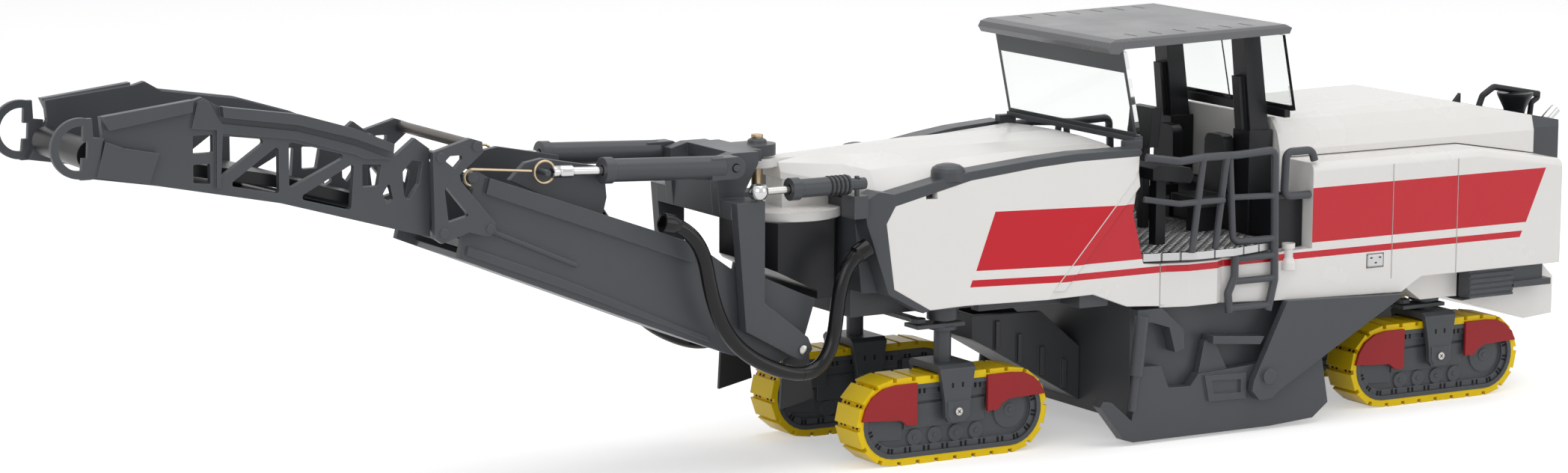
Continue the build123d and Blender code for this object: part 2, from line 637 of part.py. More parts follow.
roof_side = [(roof_front_x, roof_top_z - 1.3), (roof_front_x + 0.3, roof_top_z - 0.75),
             (roof_front_x + 1.2, roof_top_z - 0.45), (roof_rear_x - 0.8, roof_top_z),
             (roof_rear_x, roof_top_z - 0.4), (roof_rear_x - 0.3, roof_top_z - 1.0),
             (roof_front_x + 2.2, roof_top_z - roof_thick), (roof_front_x + 1.4, roof_top_z - 2.0),
             (roof_front_x + 0.4, roof_top_z - 1.9)]
slot_stations = [21.9, 25.0, 28.1, 31.1, 33.9, 36.6]
with BuildPart() as roof:
    across(roof_side, roof_half)
    top_edges = [edge for edge in roof.edges()
                 if abs(abs(edge.center().Y) - roof_half) < 0.01
                 and edge.center().Z > roof_top_z - 0.35 and edge.length > 10]
    fillet(top_edges, 0.3)
    for slot_x in slot_stations:
        pair((slot_x - 0.12, slot_x + 0.12), (8.5, roof_half - 1.2),
             (roof_top_z - 0.6, roof_top_z + 0.2), Mode.SUBTRACT)
save(roof, "canopy_roof")

post_top_z = roof_top_z - 1.3
with BuildPart() as posts:
    plates([(37.5, post_top_z), (39.6, post_top_z), (41.0, 31.0), (38.6, 31.0)],
           post_y - post_width / 2, post_width)
    pair((38.3, 41.3), (post_y - sleeve_width / 2, post_y + sleeve_width / 2),
         (rail_low_z - 0.9, 31.0))
    plates([(37.9, 31.0), (39.0, 31.0), (38.6, 36.8), (37.3, 36.8)], post_y - 0.6, 1.2)
save(posts, "canopy_posts")

with BuildPart() as windscreen:
    across([(19.5, roof_top_z - 1.8), (19.5 + glass_wall, roof_top_z - 1.8),
            (21.4 + glass_wall, 31.9), (21.4, 31.9)], 11.9)
save(windscreen, "windscreen")

with BuildPart() as rear_window:
    across([(40.0, roof_top_z - 1.2), (40.0 + glass_wall, roof_top_z - 1.2),
            (41.6 + glass_wall, 33.3), (41.6, 33.3)], 11.4)
save(rear_window, "rear_window")

# Milling unit: housing open below, drum, side shields, beams and the gathering conveyor

with BuildPart() as housing:
    block((housing_front_x, housing_rear_x), (-housing_half, housing_half), (2.2, 14.4))
    block((housing_front_x + housing_wall, housing_rear_x - housing_wall),
          (-housing_half + housing_wall, housing_half - housing_wall), (2.0, 10.8), Mode.SUBTRACT)
    disc(drum_x, drum_z, housing_half - 2, 3.0, drum_shaft_radius + 0.15, Mode.SUBTRACT)
save(housing, "drum_housing")

with BuildPart() as drum:
    disc(drum_x, drum_z, 0, drum_half, drum_radius - 0.6)
    disc(drum_x, drum_z, drum_half - 0.1, housing_half - drum_half, drum_shaft_radius)
    for turn in range(9):
        angle = math.radians(turn * 40)
        way = Vector(math.cos(angle), 0, math.sin(angle))
        for row in range(3):
            for side in (-1, 1):
                y = side * (1.0 + (row * 9 + turn) * 0.36)
                start = Vector(drum_x, y, drum_z) + way * (drum_radius - 1.0)
                end = Vector(drum_x, y, drum_z) + way * drum_radius
                rod(tuple(start), tuple(end), 0.4)
save(drum, "milling_drum")

shield = [(16.2, 5.0), (17.2, 4.8), (19.8, 2.6), (20.8, 8.2), (23.3, 8.1), (24.4, 5.7),
          (27.2, 5.6), (28.2, 6.8), (44.2, 7.6), (45.2, 2.2), (43.2, 0.7), (37.5, 0.35),
          (20.0, 0.35), (18.8, 0.7), (15.8, 4.4)]
hook = [(20.3, 14.2), (23.3, 14.2), (26.1, 11.7), (26.2, 9.7), (25.1, 9.4), (24.3, 12.1),
        (22.1, 12.8), (20.3, 12.8)]
step_plate = [(29.5, 10.8), (36.1, 10.2), (35.6, 9.4), (29.5, 10.0)]
bracket_triangle = [(28.3, 6.0), (29.2, 10.2), (30.4, 10.2), (32.6, 6.0)]
shield_frame = [(28.8, 6.6), (34.2, 6.4), (34.2, 3.7), (29.4, 3.8)]
shield_frame_hole = [(29.7, 6.0), (33.5, 5.8), (33.5, 4.4), (30.0, 4.5)]
with BuildPart() as shields:
    plates(shield, housing_half + 0.1, shield_thick)
    plates(hook, housing_half + 0.1, 1.4)
    plates(step_plate, housing_half + 0.1, 2.0)
    plates(bracket_triangle, housing_half + 0.1, 0.9)
    plates(shield_frame, housing_half + 0.1 + shield_thick, 0.3)
    plates(shield_frame_hole, housing_half + 0.1 + shield_thick, 0.4, Mode.SUBTRACT)
    for side in (-1, 1):
        y = side * (housing_half + shield_thick + 0.15)
        rod((20.85, y, 13.6), (20.2, y, 7.4), 0.72)
        rod((20.25, y, 7.9), (19.75, y, 3.7), 0.42)
save(shields, "side_shields")

beam = [(38.8, 13.8), (54.5, 13.2), (38.0, 4.4), (37.0, 3.6), (35.4, 3.5), (34.4, 4.6),
        (34.6, 5.6)]
with BuildPart() as beams:
    plates(beam, 14.3, 0.9)
    disc(36.4, 6.0, 15.2, 0.35, 0.8)
save(beams, "support_beams")

with BuildPart() as gather:
    across([(6.8, 13.2), (15.4, 12.9), (22.9, 6.6), (21.1, 2.6), (8.9, 9.6), (6.8, 10.7)],
           gather_half)
    across([(7.4, 14.0), (7.4, 11.6), (21.6, 3.8), (24.6, 7.4), (16.0, 14.0)], gather_half - 0.7,
           Mode.SUBTRACT)
    for rib_x, rib_z in ((9.6, 9.4), (12.4, 7.8), (15.2, 6.2), (18.0, 4.6)):
        pair((rib_x, rib_x + 0.5), (gather_half, gather_half + 0.35), (rib_z, rib_z + 3.0))
    block((housing_front_x - 0.1, 24), (-6, 6), (0, 14), Mode.SUBTRACT)
save(gather, "gathering_conveyor")

# Slewing bracket on the kingpin, with the conveyor hung at its feet

arm = [(-24.4, arm_top_z), (-21.2, arm_top_z), (-21.2, 17.7), (foot_x + 0.6, foot_z + 1.2),
       (foot_x + 1.1, foot_z), (foot_x + 0.3, foot_z - 1.0), (foot_x - 0.4, foot_z - 1.0),
       (-23.3, 15.0)]
upper_arm = [(-24.4, 26.1), (-21.6, 26.1), (-21.6, 28.4), (-20.0, 31.2), (-20.0, 32.4),
             (-22.8, 32.4), (-24.7, 31.9), (-24.7, 29.0)]
with BuildPart() as bracket:
    plates(arm, arm_inner, arm_thick)
    plates(upper_arm, 4.0, 1.4)
    across([(-24.4, 26.1), (-22.6, 26.1), (-22.6, 29.6), (-24.4, 29.6)], 5.4)
    pair((-24.4, -21.2), (5.3, arm_inner + 0.1), (26.1, arm_top_z))
    block((-22.8, -19.0), (-4.3, 4.3), (31.25, 32.4))
    block((-19.2, kingpin_x), (-1.9, 1.9), (31.25, 32.4))
    post(kingpin_x, 0, 31.25, 32.4, 1.9)
    post(kingpin_x, 0, 27.6, 33.1, kingpin_radius)
    turned(kingpin_x, 0, [(0, 32.4), (1.05, 32.4), (0.95, 32.75), (0.6, 32.95), (0, 33.0)])
    block((-22.7, kingpin_x), (-1.2, 1.2), (26.6, 27.7))
    disc(foot_x, foot_z, trough_half - trough_wall, arm_inner + arm_thick - trough_half
         + trough_wall + 0.15, foot_pin_radius)
    disc(lift_rear[0], lift_rear[1], 5.3, 2.4, lift_pin_radius)
    for side in (-1, 1):
        post(slew_eye_x, side * slew_y, arm_top_z - 0.1, slew_z + 0.8, slew_pin_radius)
save(bracket, "slew_bracket")

# Discharge conveyor, rear part: trough, belt, flaps, hose; it lifts about the foot pins

slope = math.atan2(14.8, 36.96)
trough = [(-14.4, 17.3), (-20.9, 20.2), (-24.2, 21.2), (-28.2, 24.0), (-51.0, 32.2),
          (-52.3, 33.0), (-53.4, 32.6), (-53.4, 31.9), (-52.6, 31.2), (-54.2, 24.6),
          (-24.2, 12.5), (-18.6, 11.2), (-16.0, 12.4)]
side_rib = [(-27.0, 14.6), (-26.6, 14.0), (-43.5, 21.0), (-53.4, 24.9), (-53.3, 25.7),
            (-43.3, 21.8)]
belt_low = [(-17.4, 12.5), (-24.0, 13.7), (-53.0, 25.3), (-53.4, 26.3), (-24.0, 14.7),
            (-17.6, 13.5)]
flange = [(-28.2, 24.0), (-51.0, 32.2), (-51.4, 30.7), (-28.6, 22.2)]
lug = [(-37.5, 27.0), (-43.0, 29.2), (-47.6, 31.4), (-45.9, 33.0), (-44.0, 33.3), (-37.3, 32.0),
       (-37.0, 29.0)]
with BuildPart() as rear_trough:
    plates(trough, trough_half - trough_wall, trough_wall)
    plates(flange, trough_half, 0.5)
    plates(side_rib, trough_half, 0.25)
    for side in (-1, 1):
        rod((-51.1, side * (trough_half + 0.1), 27.2), (-41.6, side * (trough_half + 0.1), 23.0), 0.3)
        rod((-52.8, side * (trough_half - 0.5), 32.35), (-52.8, side * (trough_half + 0.4), 32.35),
            0.5)
    plates(lug, 4.4, 0.7)
    plates([(-37.5, 26.5), (-43.5, 28.7), (-43.5, 29.5), (-37.5, 27.3)], 4.4,
           trough_half - 4.4)
    across([(-24.2, 12.5), (-52.0, 23.7), (-52.2, 24.4), (-24.4, 13.2)], trough_half - 0.3)
    disc(foot_x, foot_z, trough_half - 1.5, 3.0, foot_pin_radius + 0.1, Mode.SUBTRACT)
    disc(fold_x, fold_z, trough_half - 1.5, 3.0, fold_pin_radius + 0.1, Mode.SUBTRACT)
    disc(lift_eye[0], lift_eye[1], 4.4, 3.0, 0.3)
save(rear_trough, "conveyor_trough")

with BuildPart() as rear_belt:
    across(belt_low, 5.6)
save(rear_belt, "conveyor_belt_rear")

with BuildPart() as flaps:
    plates([(-17.6, 11.6), (-14.6, 11.6), (-14.0, 7.0), (-17.9, 6.2)], 6.0, 0.4)
save(flaps, "tail_flaps")

hose_route = [(-33.5, 26.9), (-29.3, 26.2), (-27.6, 17.0), (-24.0, 12.6), (-17.4, 9.9),
              (-14.0, 12.0), (-13.2, 19.6), (-11.4, 22.0), (-10.0, 22.6)]
with BuildPart() as hose:
    for side in (-1, 1):
        tube([(x, side * hose_y, z) for x, z in hose_route], hose_radius, 1.2)
save(hose, "hose_loops")

# Discharge conveyor, front part: it folds up about the lower pins of the fold brackets

front_side = [(-57.2, 26.9), (-57.2, 35.4), (-58.7, 36.5), (-60.8, 34.9), (-61.2, 36.1),
              (-65.2, 37.8), (-70.8, 39.5), (-78.6, 40.7), (-80.3, 41.7), (-81.4, 41.4),
              (-90.3, 40.5), (-90.1, 38.6), (-92.0, 35.0), (-84.9, 33.8), (-72.6, 31.3)]
lid_bars = [[(-90.4, 40.6), (-81.5, 41.6), (-81.6, 40.5), (-89.8, 39.3)],
            [(-78.6, 40.8), (-70.8, 39.6), (-65.2, 37.9), (-61.2, 36.2), (-61.3, 35.4),
             (-65.3, 37.0), (-70.9, 38.6), (-78.5, 39.8)]]
chord_ridge = [(-78.6, 39.2), (-71.0, 38.0), (-65.2, 36.3), (-61.3, 34.7), (-64.0, 34.9),
               (-65.0, 35.4), (-71.0, 37.2), (-78.8, 38.3)]
post_rib = [(-81.5, 38.9), (-80.9, 41.3), (-80.3, 41.6), (-79.8, 41.3), (-78.4, 39.0),
            (-78.7, 33.2), (-79.1, 33.2), (-79.0, 38.6)]
truss_windows = [[(-78.75, 34.0), (-73.75, 37.35), (-78.75, 38.05)],
                 [(-77.9, 33.3), (-72.7, 32.2), (-72.7, 36.8)],
                 [(-71.7, 32.6), (-65.6, 35.3), (-71.7, 37.05)],
                 [(-70.9, 31.6), (-65.4, 30.1), (-65.0, 34.6)]]
plate_windows = [[(-64.2, 34.4), (-62.2, 34.2), (-62.6, 32.2), (-64.2, 32.2)],
                 [(-61.4, 32.5), (-62.1, 31.4), (-61.7, 30.4), (-61.0, 30.8)],
                 [(-60.0, 33.4), (-59.0, 34.4), (-57.9, 34.2), (-58.3, 32.1), (-59.4, 30.6),
                  (-59.9, 31.1)],
                 [(-81.3, 36.5), (-79.3, 36.5), (-79.3, 38.2), (-81.3, 38.2)],
                 [(-81.3, 33.8), (-79.6, 33.6), (-79.6, 35.5), (-81.3, 35.5)]]
with BuildPart() as front_frame:
    plates(front_side, trough_half - trough_wall, trough_wall)
    windows(truss_windows, trough_half - trough_wall - 0.5, trough_half + 0.5, 0.3)
    windows(plate_windows, trough_half - trough_wall - 0.5, trough_half + 0.5, 0.15)
    for bar in lid_bars:
        plates(bar, trough_half - 0.1, 0.9)
    plates(chord_ridge, trough_half - 0.1, 0.35)
    plates(post_rib, trough_half - 0.1, 0.4)
    across([(-58.0, 27.2), (-72.6, 31.4), (-84.9, 34.0), (-84.9, 34.5), (-72.6, 31.9),
            (-58.0, 27.7)], trough_half - 0.3)
save(front_frame, "conveyor_front_frame")

with BuildPart() as front_belt:
    across([(-57.6, 28.4), (-72.6, 32.6), (-90.0, 36.0), (-90.0, 37.2), (-72.6, 33.8),
            (-57.6, 29.4)], 5.6)
    disc(-90.6, 36.8, 0, 5.6, 1.4)
save(front_belt, "conveyor_belt_front")

tip_bridge = [(-91.7, 38.8), (-90.2, 38.6), (-90.9, 35.0), (-91.9, 35.1)]
tip_cover = [(-91.0, 35.05), (-90.1, 38.3), (-88.3, 37.6), (-84.9, 36.9), (-85.9, 34.1)]
with BuildPart() as tip_guards:
    disc(tip_x, tip_z, trough_half, 0.5, tip_ring_radius)
    disc(tip_x, tip_z, trough_half - 0.1, 0.7, tip_ring_bore, Mode.SUBTRACT)
    pair((-91.8, -88.0), (trough_half - 0.1, trough_half + 0.7), (34.9, 41.0), Mode.SUBTRACT)
    plates([(-92.2, 38.4), (-91.2, 38.4), (-91.3, 40.5), (-92.1, 40.5)], trough_half, 0.5)
    plates([(-92.5, 34.9), (-91.4, 34.9), (-91.4, 36.9), (-92.3, 36.9)], trough_half, 0.5)
    plates(tip_bridge, trough_half, 0.5)
    plates(tip_cover, trough_half, 0.7)
save(tip_guards, "tip_guards")

fold_outline = [(-57.5, 35.2), (-53.5, 36.3), (-52.3, 35.9), (-52.2, 34.9), (-54.7, 32.9),
                (-54.6, 32.3), (-50.95, 28.0), (-50.9, 27.2), (-51.5, 26.8), (-52.2, 26.85),
                (-53.7, 27.3), (-56.6, 26.4), (-57.3, 26.9)]
bracket_windows = [[(-56.2, 34.3), (-55.7, 34.75), (-54.4, 34.75), (-54.4, 34.3), (-55.2, 33.5)],
                   [(-56.1, 31.8), (-53.7, 28.9), (-55.9, 28.4), (-56.3, 31.5)]]
with BuildPart() as fold_brackets:
    plates(fold_outline, trough_half + side_gap, bracket_plate)
    windows(bracket_windows, trough_half + 0.5, trough_half + side_gap + bracket_plate + 0.5, 0.1)
    disc(-52.9, 35.5, 0, trough_half + side_gap + 0.1, 0.5)
    disc(-52.9, 35.5, trough_half + side_gap, bracket_plate + 0.2, 0.45)
    disc(-56.7, 34.7, trough_half - trough_wall, trough_wall + side_gap + bracket_plate + 0.15, 0.45)
    disc(-56.4, 27.4, trough_half - trough_wall, trough_wall + side_gap + bracket_plate + 0.15, 0.45)
    disc(fold_x, fold_z, trough_half - trough_wall - 0.2,
         trough_wall + side_gap + bracket_plate + 0.35, fold_pin_radius)
save(fold_brackets, "fold_brackets")

# Cylinders that lift the conveyor, and cylinders that slew the bracket

lift_way = (Vector(lift_eye[0], 0, lift_eye[1]) - Vector(lift_rear[0], 0, lift_rear[1])).normalized()


def on_lift(distance, side):
    """A point on a lift cylinder's axis, at a distance from its rear pin."""
    return (lift_rear[0] + lift_way.X * distance, side * lift_y,
            lift_rear[1] + lift_way.Z * distance)


lift_length = math.dist(lift_rear, lift_eye)
with BuildPart() as lift_barrels:
    for side in (-1, 1):
        rod(on_lift(1.2, side), on_lift(lift_barrel_length, side), lift_barrel_radius)
        rod(on_lift(lift_barrel_length - 1.0, side), on_lift(lift_barrel_length, side),
            lift_barrel_radius + 0.15)
        with BuildSketch(side_plane(side * (lift_y - 0.9))) as end_block:
            with Locations((lift_rear[0] - 1.2, lift_rear[1])):
                Rectangle(3.0, 2.2)
            with Locations(lift_rear):
                Circle(1.1)
        extrude(end_block.sketch, amount=-side * 1.8)
        rod(on_lift(2.6, side), on_lift(lift_barrel_length + 1, side), lift_rod_radius + 0.12,
            Mode.SUBTRACT)
    disc(lift_rear[0], lift_rear[1], 5.0, 4.0, lift_pin_radius + 0.1, Mode.SUBTRACT)
save(lift_barrels, "lift_barrels")

with BuildPart() as lift_rods:
    for side in (-1, 1):
        rod(on_lift(lift_barrel_length - 5.4, side), on_lift(lift_length - 1.0, side),
            lift_rod_radius)
        rod(on_lift(lift_length - 2.4, side), on_lift(lift_length - 1.1, side), 0.62)
    disc(lift_eye[0], lift_eye[1], lift_y - 0.5, 1.0, 1.2)
    disc(lift_eye[0], lift_eye[1], lift_y - 1.0, 2.0, 0.3 + 0.6, Mode.SUBTRACT)
save(lift_rods, "lift_rods")

for hand, side in (("left", -1), ("right", 1)):
    y = side * slew_y
    cap_x = slew_base_x - slew_barrel_length
    with BuildPart() as slew_barrel:
        rod((slew_base_x - 1.0, y, slew_z), (cap_x, y, slew_z), slew_barrel_radius)
        rod((cap_x + 1.0, y, slew_z), (cap_x, y, slew_z), slew_barrel_radius + 0.2)
        rod((slew_base_x + 0.9, y, slew_z), (slew_base_x - 1.5, y, slew_z), 0.6)
        rod((slew_base_x - 1.3, y, slew_z), (cap_x - 1, y, slew_z), slew_rod_radius + 0.12,
            Mode.SUBTRACT)
        post(slew_base_x, y, slew_z - 1, slew_z + 1, slew_pin_radius + 0.1, Mode.SUBTRACT)
    save(slew_barrel, "slew_barrel_" + hand)

    with BuildPart() as slew_rod:
        rod((cap_x + 4.0, y, slew_z), (slew_eye_x + 0.7, y, slew_z), slew_rod_radius)
        post(slew_eye_x, y, slew_z - 0.5, slew_z + 0.5, 0.85)
        post(slew_eye_x, y, slew_z - 1, slew_z + 1, slew_pin_radius + eye_play, Mode.SUBTRACT)
    save(slew_rod, "slew_rod_" + hand)

# Write every piece with the origin under the middle of the model's length

ends = [piece.bounding_box() for piece in pieces.values()]
middle_x = (min(end.min.X for end in ends) + max(end.max.X for end in ends)) / 2
for name, piece in pieces.items():
    shape = piece.moved(Location((-middle_x, 0, 0)))
    shape.label = name
    export_step(shape, "parts/" + name + ".step")
print("middle_x", round(middle_x, 4))
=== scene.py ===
# %% [markdown]
# # A cold planer, as a 1:87 moulded model
# The finished model is a road milling machine: four crawlers, a drum housing, a white body, a
# railed platform under a canopy, and a long folding conveyor. The solids come from a packed
# frame, and this file gives them their finish and their finest detail: window edges, tread, link
# bolts, pins, hoses and a stripe. All lengths are in metres, so a value written as 0.4 * MM is
# 0.4 mm on the model.

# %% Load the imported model
import json
import math
import bmesh
import bpy
from mathutils import Matrix, Vector


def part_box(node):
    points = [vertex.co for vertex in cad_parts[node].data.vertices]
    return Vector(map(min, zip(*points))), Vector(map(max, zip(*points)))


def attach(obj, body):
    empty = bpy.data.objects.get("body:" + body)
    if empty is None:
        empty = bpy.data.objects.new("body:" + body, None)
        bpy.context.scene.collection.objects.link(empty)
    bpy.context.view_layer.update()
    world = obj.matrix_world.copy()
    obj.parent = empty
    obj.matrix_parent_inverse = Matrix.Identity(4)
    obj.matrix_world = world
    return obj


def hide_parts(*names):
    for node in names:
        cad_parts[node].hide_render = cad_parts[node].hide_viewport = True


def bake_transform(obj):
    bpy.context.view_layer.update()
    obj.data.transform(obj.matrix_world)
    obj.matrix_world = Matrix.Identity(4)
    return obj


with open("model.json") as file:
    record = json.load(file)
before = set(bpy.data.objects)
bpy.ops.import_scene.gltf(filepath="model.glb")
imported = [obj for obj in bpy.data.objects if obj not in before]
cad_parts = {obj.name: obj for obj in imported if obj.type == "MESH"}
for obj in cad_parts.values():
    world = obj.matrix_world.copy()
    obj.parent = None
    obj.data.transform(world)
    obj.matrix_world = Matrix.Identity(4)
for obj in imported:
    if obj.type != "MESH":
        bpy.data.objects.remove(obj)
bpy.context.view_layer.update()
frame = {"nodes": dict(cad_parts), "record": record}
nodes = frame["nodes"]
MM = 0.001

# %% [markdown]
# ## Places on the model
# The model was drawn in stations: millimetres behind the front crawlers' columns, to the right of
# the middle, and above the floor. Places could be typed in metres too, but they would all be wrong
# once the model's middle moved. A crawler's belt is the same before and behind its column, so the
# middle of its box gives station 0, and a helper turns a station into a place in metres.

# %% Find the front column and write the station helper
belt_low, belt_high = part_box("track_loop_front_left")
front_column_x = (belt_low.x + belt_high.x) / 2
crawler_y = -(belt_low.y + belt_high.y) / 2
crawler_half_width = (belt_high.y - belt_low.y) / 2
rear_low, rear_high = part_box("track_loop_rear_left")
wheelbase = (rear_low.x + rear_high.x) / 2 - front_column_x
SIDES = {"left": -1, "right": 1}


def station(x, y, z):
    """The place in metres of a station given in millimetres."""
    return Vector((front_column_x + x * MM, y * MM, z * MM))


print("front column at", round(front_column_x, 5), "wheelbase", round(wheelbase, 4))

# %% [markdown]
# ## The camera
# The photograph was taken from the conveyor's side, low and fairly close. Its place was worked
# out from the crawlers, whose shape is known well, so the camera is written as a place, three
# angles and a lens. It could aim at an empty with a Track To constraint, but the slight roll is
# easier to give in a matrix of the camera's right, up and backward directions.

# %% Place the camera
camera_place = station(-238.274, -377.676, 92.727)
camera_azimuth = 0.536294
camera_elevation = 0.158274
camera_roll = 0.004556
lens_in_pixels = 5853.8
photo_width = 2096
sensor_width = 36.0
nearest_seen = 0.01


def new_object(name, data):
    """An object with the given data, linked to the scene."""
    made = bpy.data.objects.new(name, data)
    bpy.context.scene.collection.objects.link(made)
    return made


forward = Vector((math.sin(camera_azimuth) * math.cos(camera_elevation),
                  math.cos(camera_azimuth) * math.cos(camera_elevation),
                  -math.sin(camera_elevation)))
level_right = forward.cross(Vector((0, 0, 1))).normalized()
level_up = level_right.cross(forward)
right = level_right * math.cos(camera_roll) + level_up * math.sin(camera_roll)
up = right.cross(forward)
turn = Matrix((right, up, -forward)).transposed().to_4x4()

camera_data = bpy.data.cameras.new("camera")
camera_data.sensor_width = sensor_width
camera_data.lens = lens_in_pixels / photo_width * sensor_width
camera_data.clip_start = nearest_seen
camera = new_object("camera", camera_data)
camera.matrix_world = Matrix.Translation(camera_place) @ turn
bpy.context.scene.camera = camera
print("lens", round(camera_data.lens, 1), "mm")

# %% [markdown]
# ## Light
# The photograph's light is soft and comes from above and from both sides, as in a white tent.
# Three broad area lamps do that, where a sun lamp would draw hard shadows. The world gives an even
# fill, and only looks white to the camera, in reflections and through glass. A Light Path node
# decides that, so the white adds no light of its own to the object.

# %% Add the lamps
lamp_table = [
    # name, place, side of the square, power
    ("top_lamp", (0.05, -0.05, 0.45), 0.45, 1.12),
    ("left_lamp", (-0.35, -0.35, 0.25), 0.3, 0.55),
    ("front_lamp", (0.35, -0.4, 0.2), 0.3, 0.38),
]
lamp_target = Vector((0, 0, 0.02))


def add_lamp(name, place, size, power):
    """A square area lamp that points at the middle of the model."""
    data = bpy.data.lights.new(name, "AREA")
    data.size = size
    data.energy = power
    lamp = new_object(name, data)
    lamp.location = place
    lamp.rotation_euler = (lamp_target - Vector(place)).to_track_quat("-Z", "Y").to_euler()


for row in lamp_table:
    add_lamp(*row)
print("lamps", [row[0] for row in lamp_table])

# %% Make the white surroundings
fill_light = 0.42
seen_white = 1.0


def fill_inputs(tree, node, values):
    """Fills inputs by name or number: a socket is linked to one, and a plain value is set."""
    for label, value in values.items():
        if isinstance(value, bpy.types.NodeSocket):
            tree.links.new(value, node.inputs[label])
        else:
            node.inputs[label].default_value = value


def add_math(tree, operation, first, second=0):
    """A Math node; each input is a socket or a number. Returns its output."""
    node = tree.nodes.new("ShaderNodeMath")
    node.operation = operation
    fill_inputs(tree, node, {0: first, 1: second})
    return node.outputs[0]


def seen_rays(tree):
    """A value that is 1 for rays from the camera, off gloss or through glass, else 0."""
    path = tree.nodes.new("ShaderNodeLightPath")
    total = path.outputs["Is Camera Ray"]
    for label in ("Is Glossy Ray", "Is Transmission Ray"):
        total = add_math(tree, "MAXIMUM", total, path.outputs[label])
    return total


world = bpy.data.worlds.new("white_tent")
bpy.context.scene.world = world
world.use_nodes = True
world_tree = world.node_tree
strength = world_tree.nodes.new("ShaderNodeMapRange")
fill_inputs(world_tree, strength, {"To Min": fill_light, "To Max": seen_white,
                                   "Value": seen_rays(world_tree)})
fill_inputs(world_tree, world_tree.nodes["Background"],
            {"Color": (1, 1, 1, 1), "Strength": strength.outputs[0]})
bpy.context.scene.view_settings.view_transform = "Standard"
print("world light", fill_light, "seen as", seen_white)

# %% [markdown]
# ## Floor
# A plain pale floor holds the model and its soft shadow. In the photograph the ground is pure
# white. Stronger lamps would make it so, but would bleach the model as well, so the floor glows a
# little, and only for the rays that are seen. That lifts it to white and leaves the shadow on it.

# %% Lay the floor
floor_half = 3.0
floor_glow = 0.42
floor_colour = (0.86, 0.86, 0.86, 1)
floor_roughness = 0.7
floor_mesh = bpy.data.meshes.new("floor")
floor_mesh.from_pydata([(-floor_half, -floor_half, 0), (floor_half, -floor_half, 0),
                        (floor_half, floor_half, 0), (-floor_half, floor_half, 0)],
                       [], [(0, 1, 2, 3)])
floor = new_object("floor", floor_mesh)

floor_material = bpy.data.materials.new("pale_floor")
floor_material.use_nodes = True
floor_tree = floor_material.node_tree
glow = add_math(floor_tree, "MULTIPLY", seen_rays(floor_tree), floor_glow)
fill_inputs(floor_tree, floor_tree.nodes["Principled BSDF"],
            {"Base Color": floor_colour, "Roughness": floor_roughness,
             "Emission Color": (1, 1, 1, 1), "Emission Strength": glow})
floor_mesh.materials.append(floor_material)
print("floor", 2 * floor_half, "m wide")

# %% [markdown]
# ## Finishes
# Every piece is moulded plastic, apart from a few metal pins, rods and wires. Each finish is one
# Principled shader. A Bevel node rounds the look of the sharp solid edges, as a mould does. Where
# that rounded normal leaves the flat one, there is an edge, and its colour is made lighter there: a
# painted highlight for the light that a rounded edge catches. A Bevel modifier would round them
# too, but the imported solids' meshes stay as they are. The shared group also adds a fine grain
# and soft changes of roughness.

# %% Write the node helpers
def new_group(name, inputs, outputs):
    """A shader node group with named sockets; returns the tree and its two end nodes."""
    tree = bpy.data.node_groups.new(name, "ShaderNodeTree")
    for label, kind, value in inputs:
        socket = tree.interface.new_socket(name=label, in_out="INPUT", socket_type=kind)
        socket.default_value = value
    for label, kind in outputs:
        tree.interface.new_socket(name=label, in_out="OUTPUT", socket_type=kind)
    return tree, tree.nodes.new("NodeGroupInput"), tree.nodes.new("NodeGroupOutput")


def add_noise(tree, scale, detail):
    """Noise on object coordinates. Returns its factor."""
    place = tree.nodes.new("ShaderNodeTexCoord")
    noise = tree.nodes.new("ShaderNodeTexNoise")
    fill_inputs(tree, noise, {"Scale": scale, "Detail": detail,
                              "Vector": place.outputs["Object"]})
    return noise.outputs["Fac"]


# %% Build the moulded grain group
edge_gain = 4.0
cloud_scale = 160
cloud_detail = 4
gloss_change = 0.25
bump_scale = 2600
bump_detail = 3
bump_height = 0.03 * MM
bevel_samples = 4

grain, grain_in, grain_out = new_group(
    "moulded_grain",
    [("Color", "NodeSocketColor", (0.5, 0.5, 0.5, 1)), ("Mottle", "NodeSocketFloat", 0.06),
     ("Roughness", "NodeSocketFloat", 0.4), ("Grain", "NodeSocketFloat", 0.1),
     ("Painted_Highlight", "NodeSocketFloat", 0.3), ("Edge", "NodeSocketFloat", 0.14 * MM)],
    [("Color", "NodeSocketColor"), ("Roughness", "NodeSocketFloat"),
     ("Normal", "NodeSocketVector")])


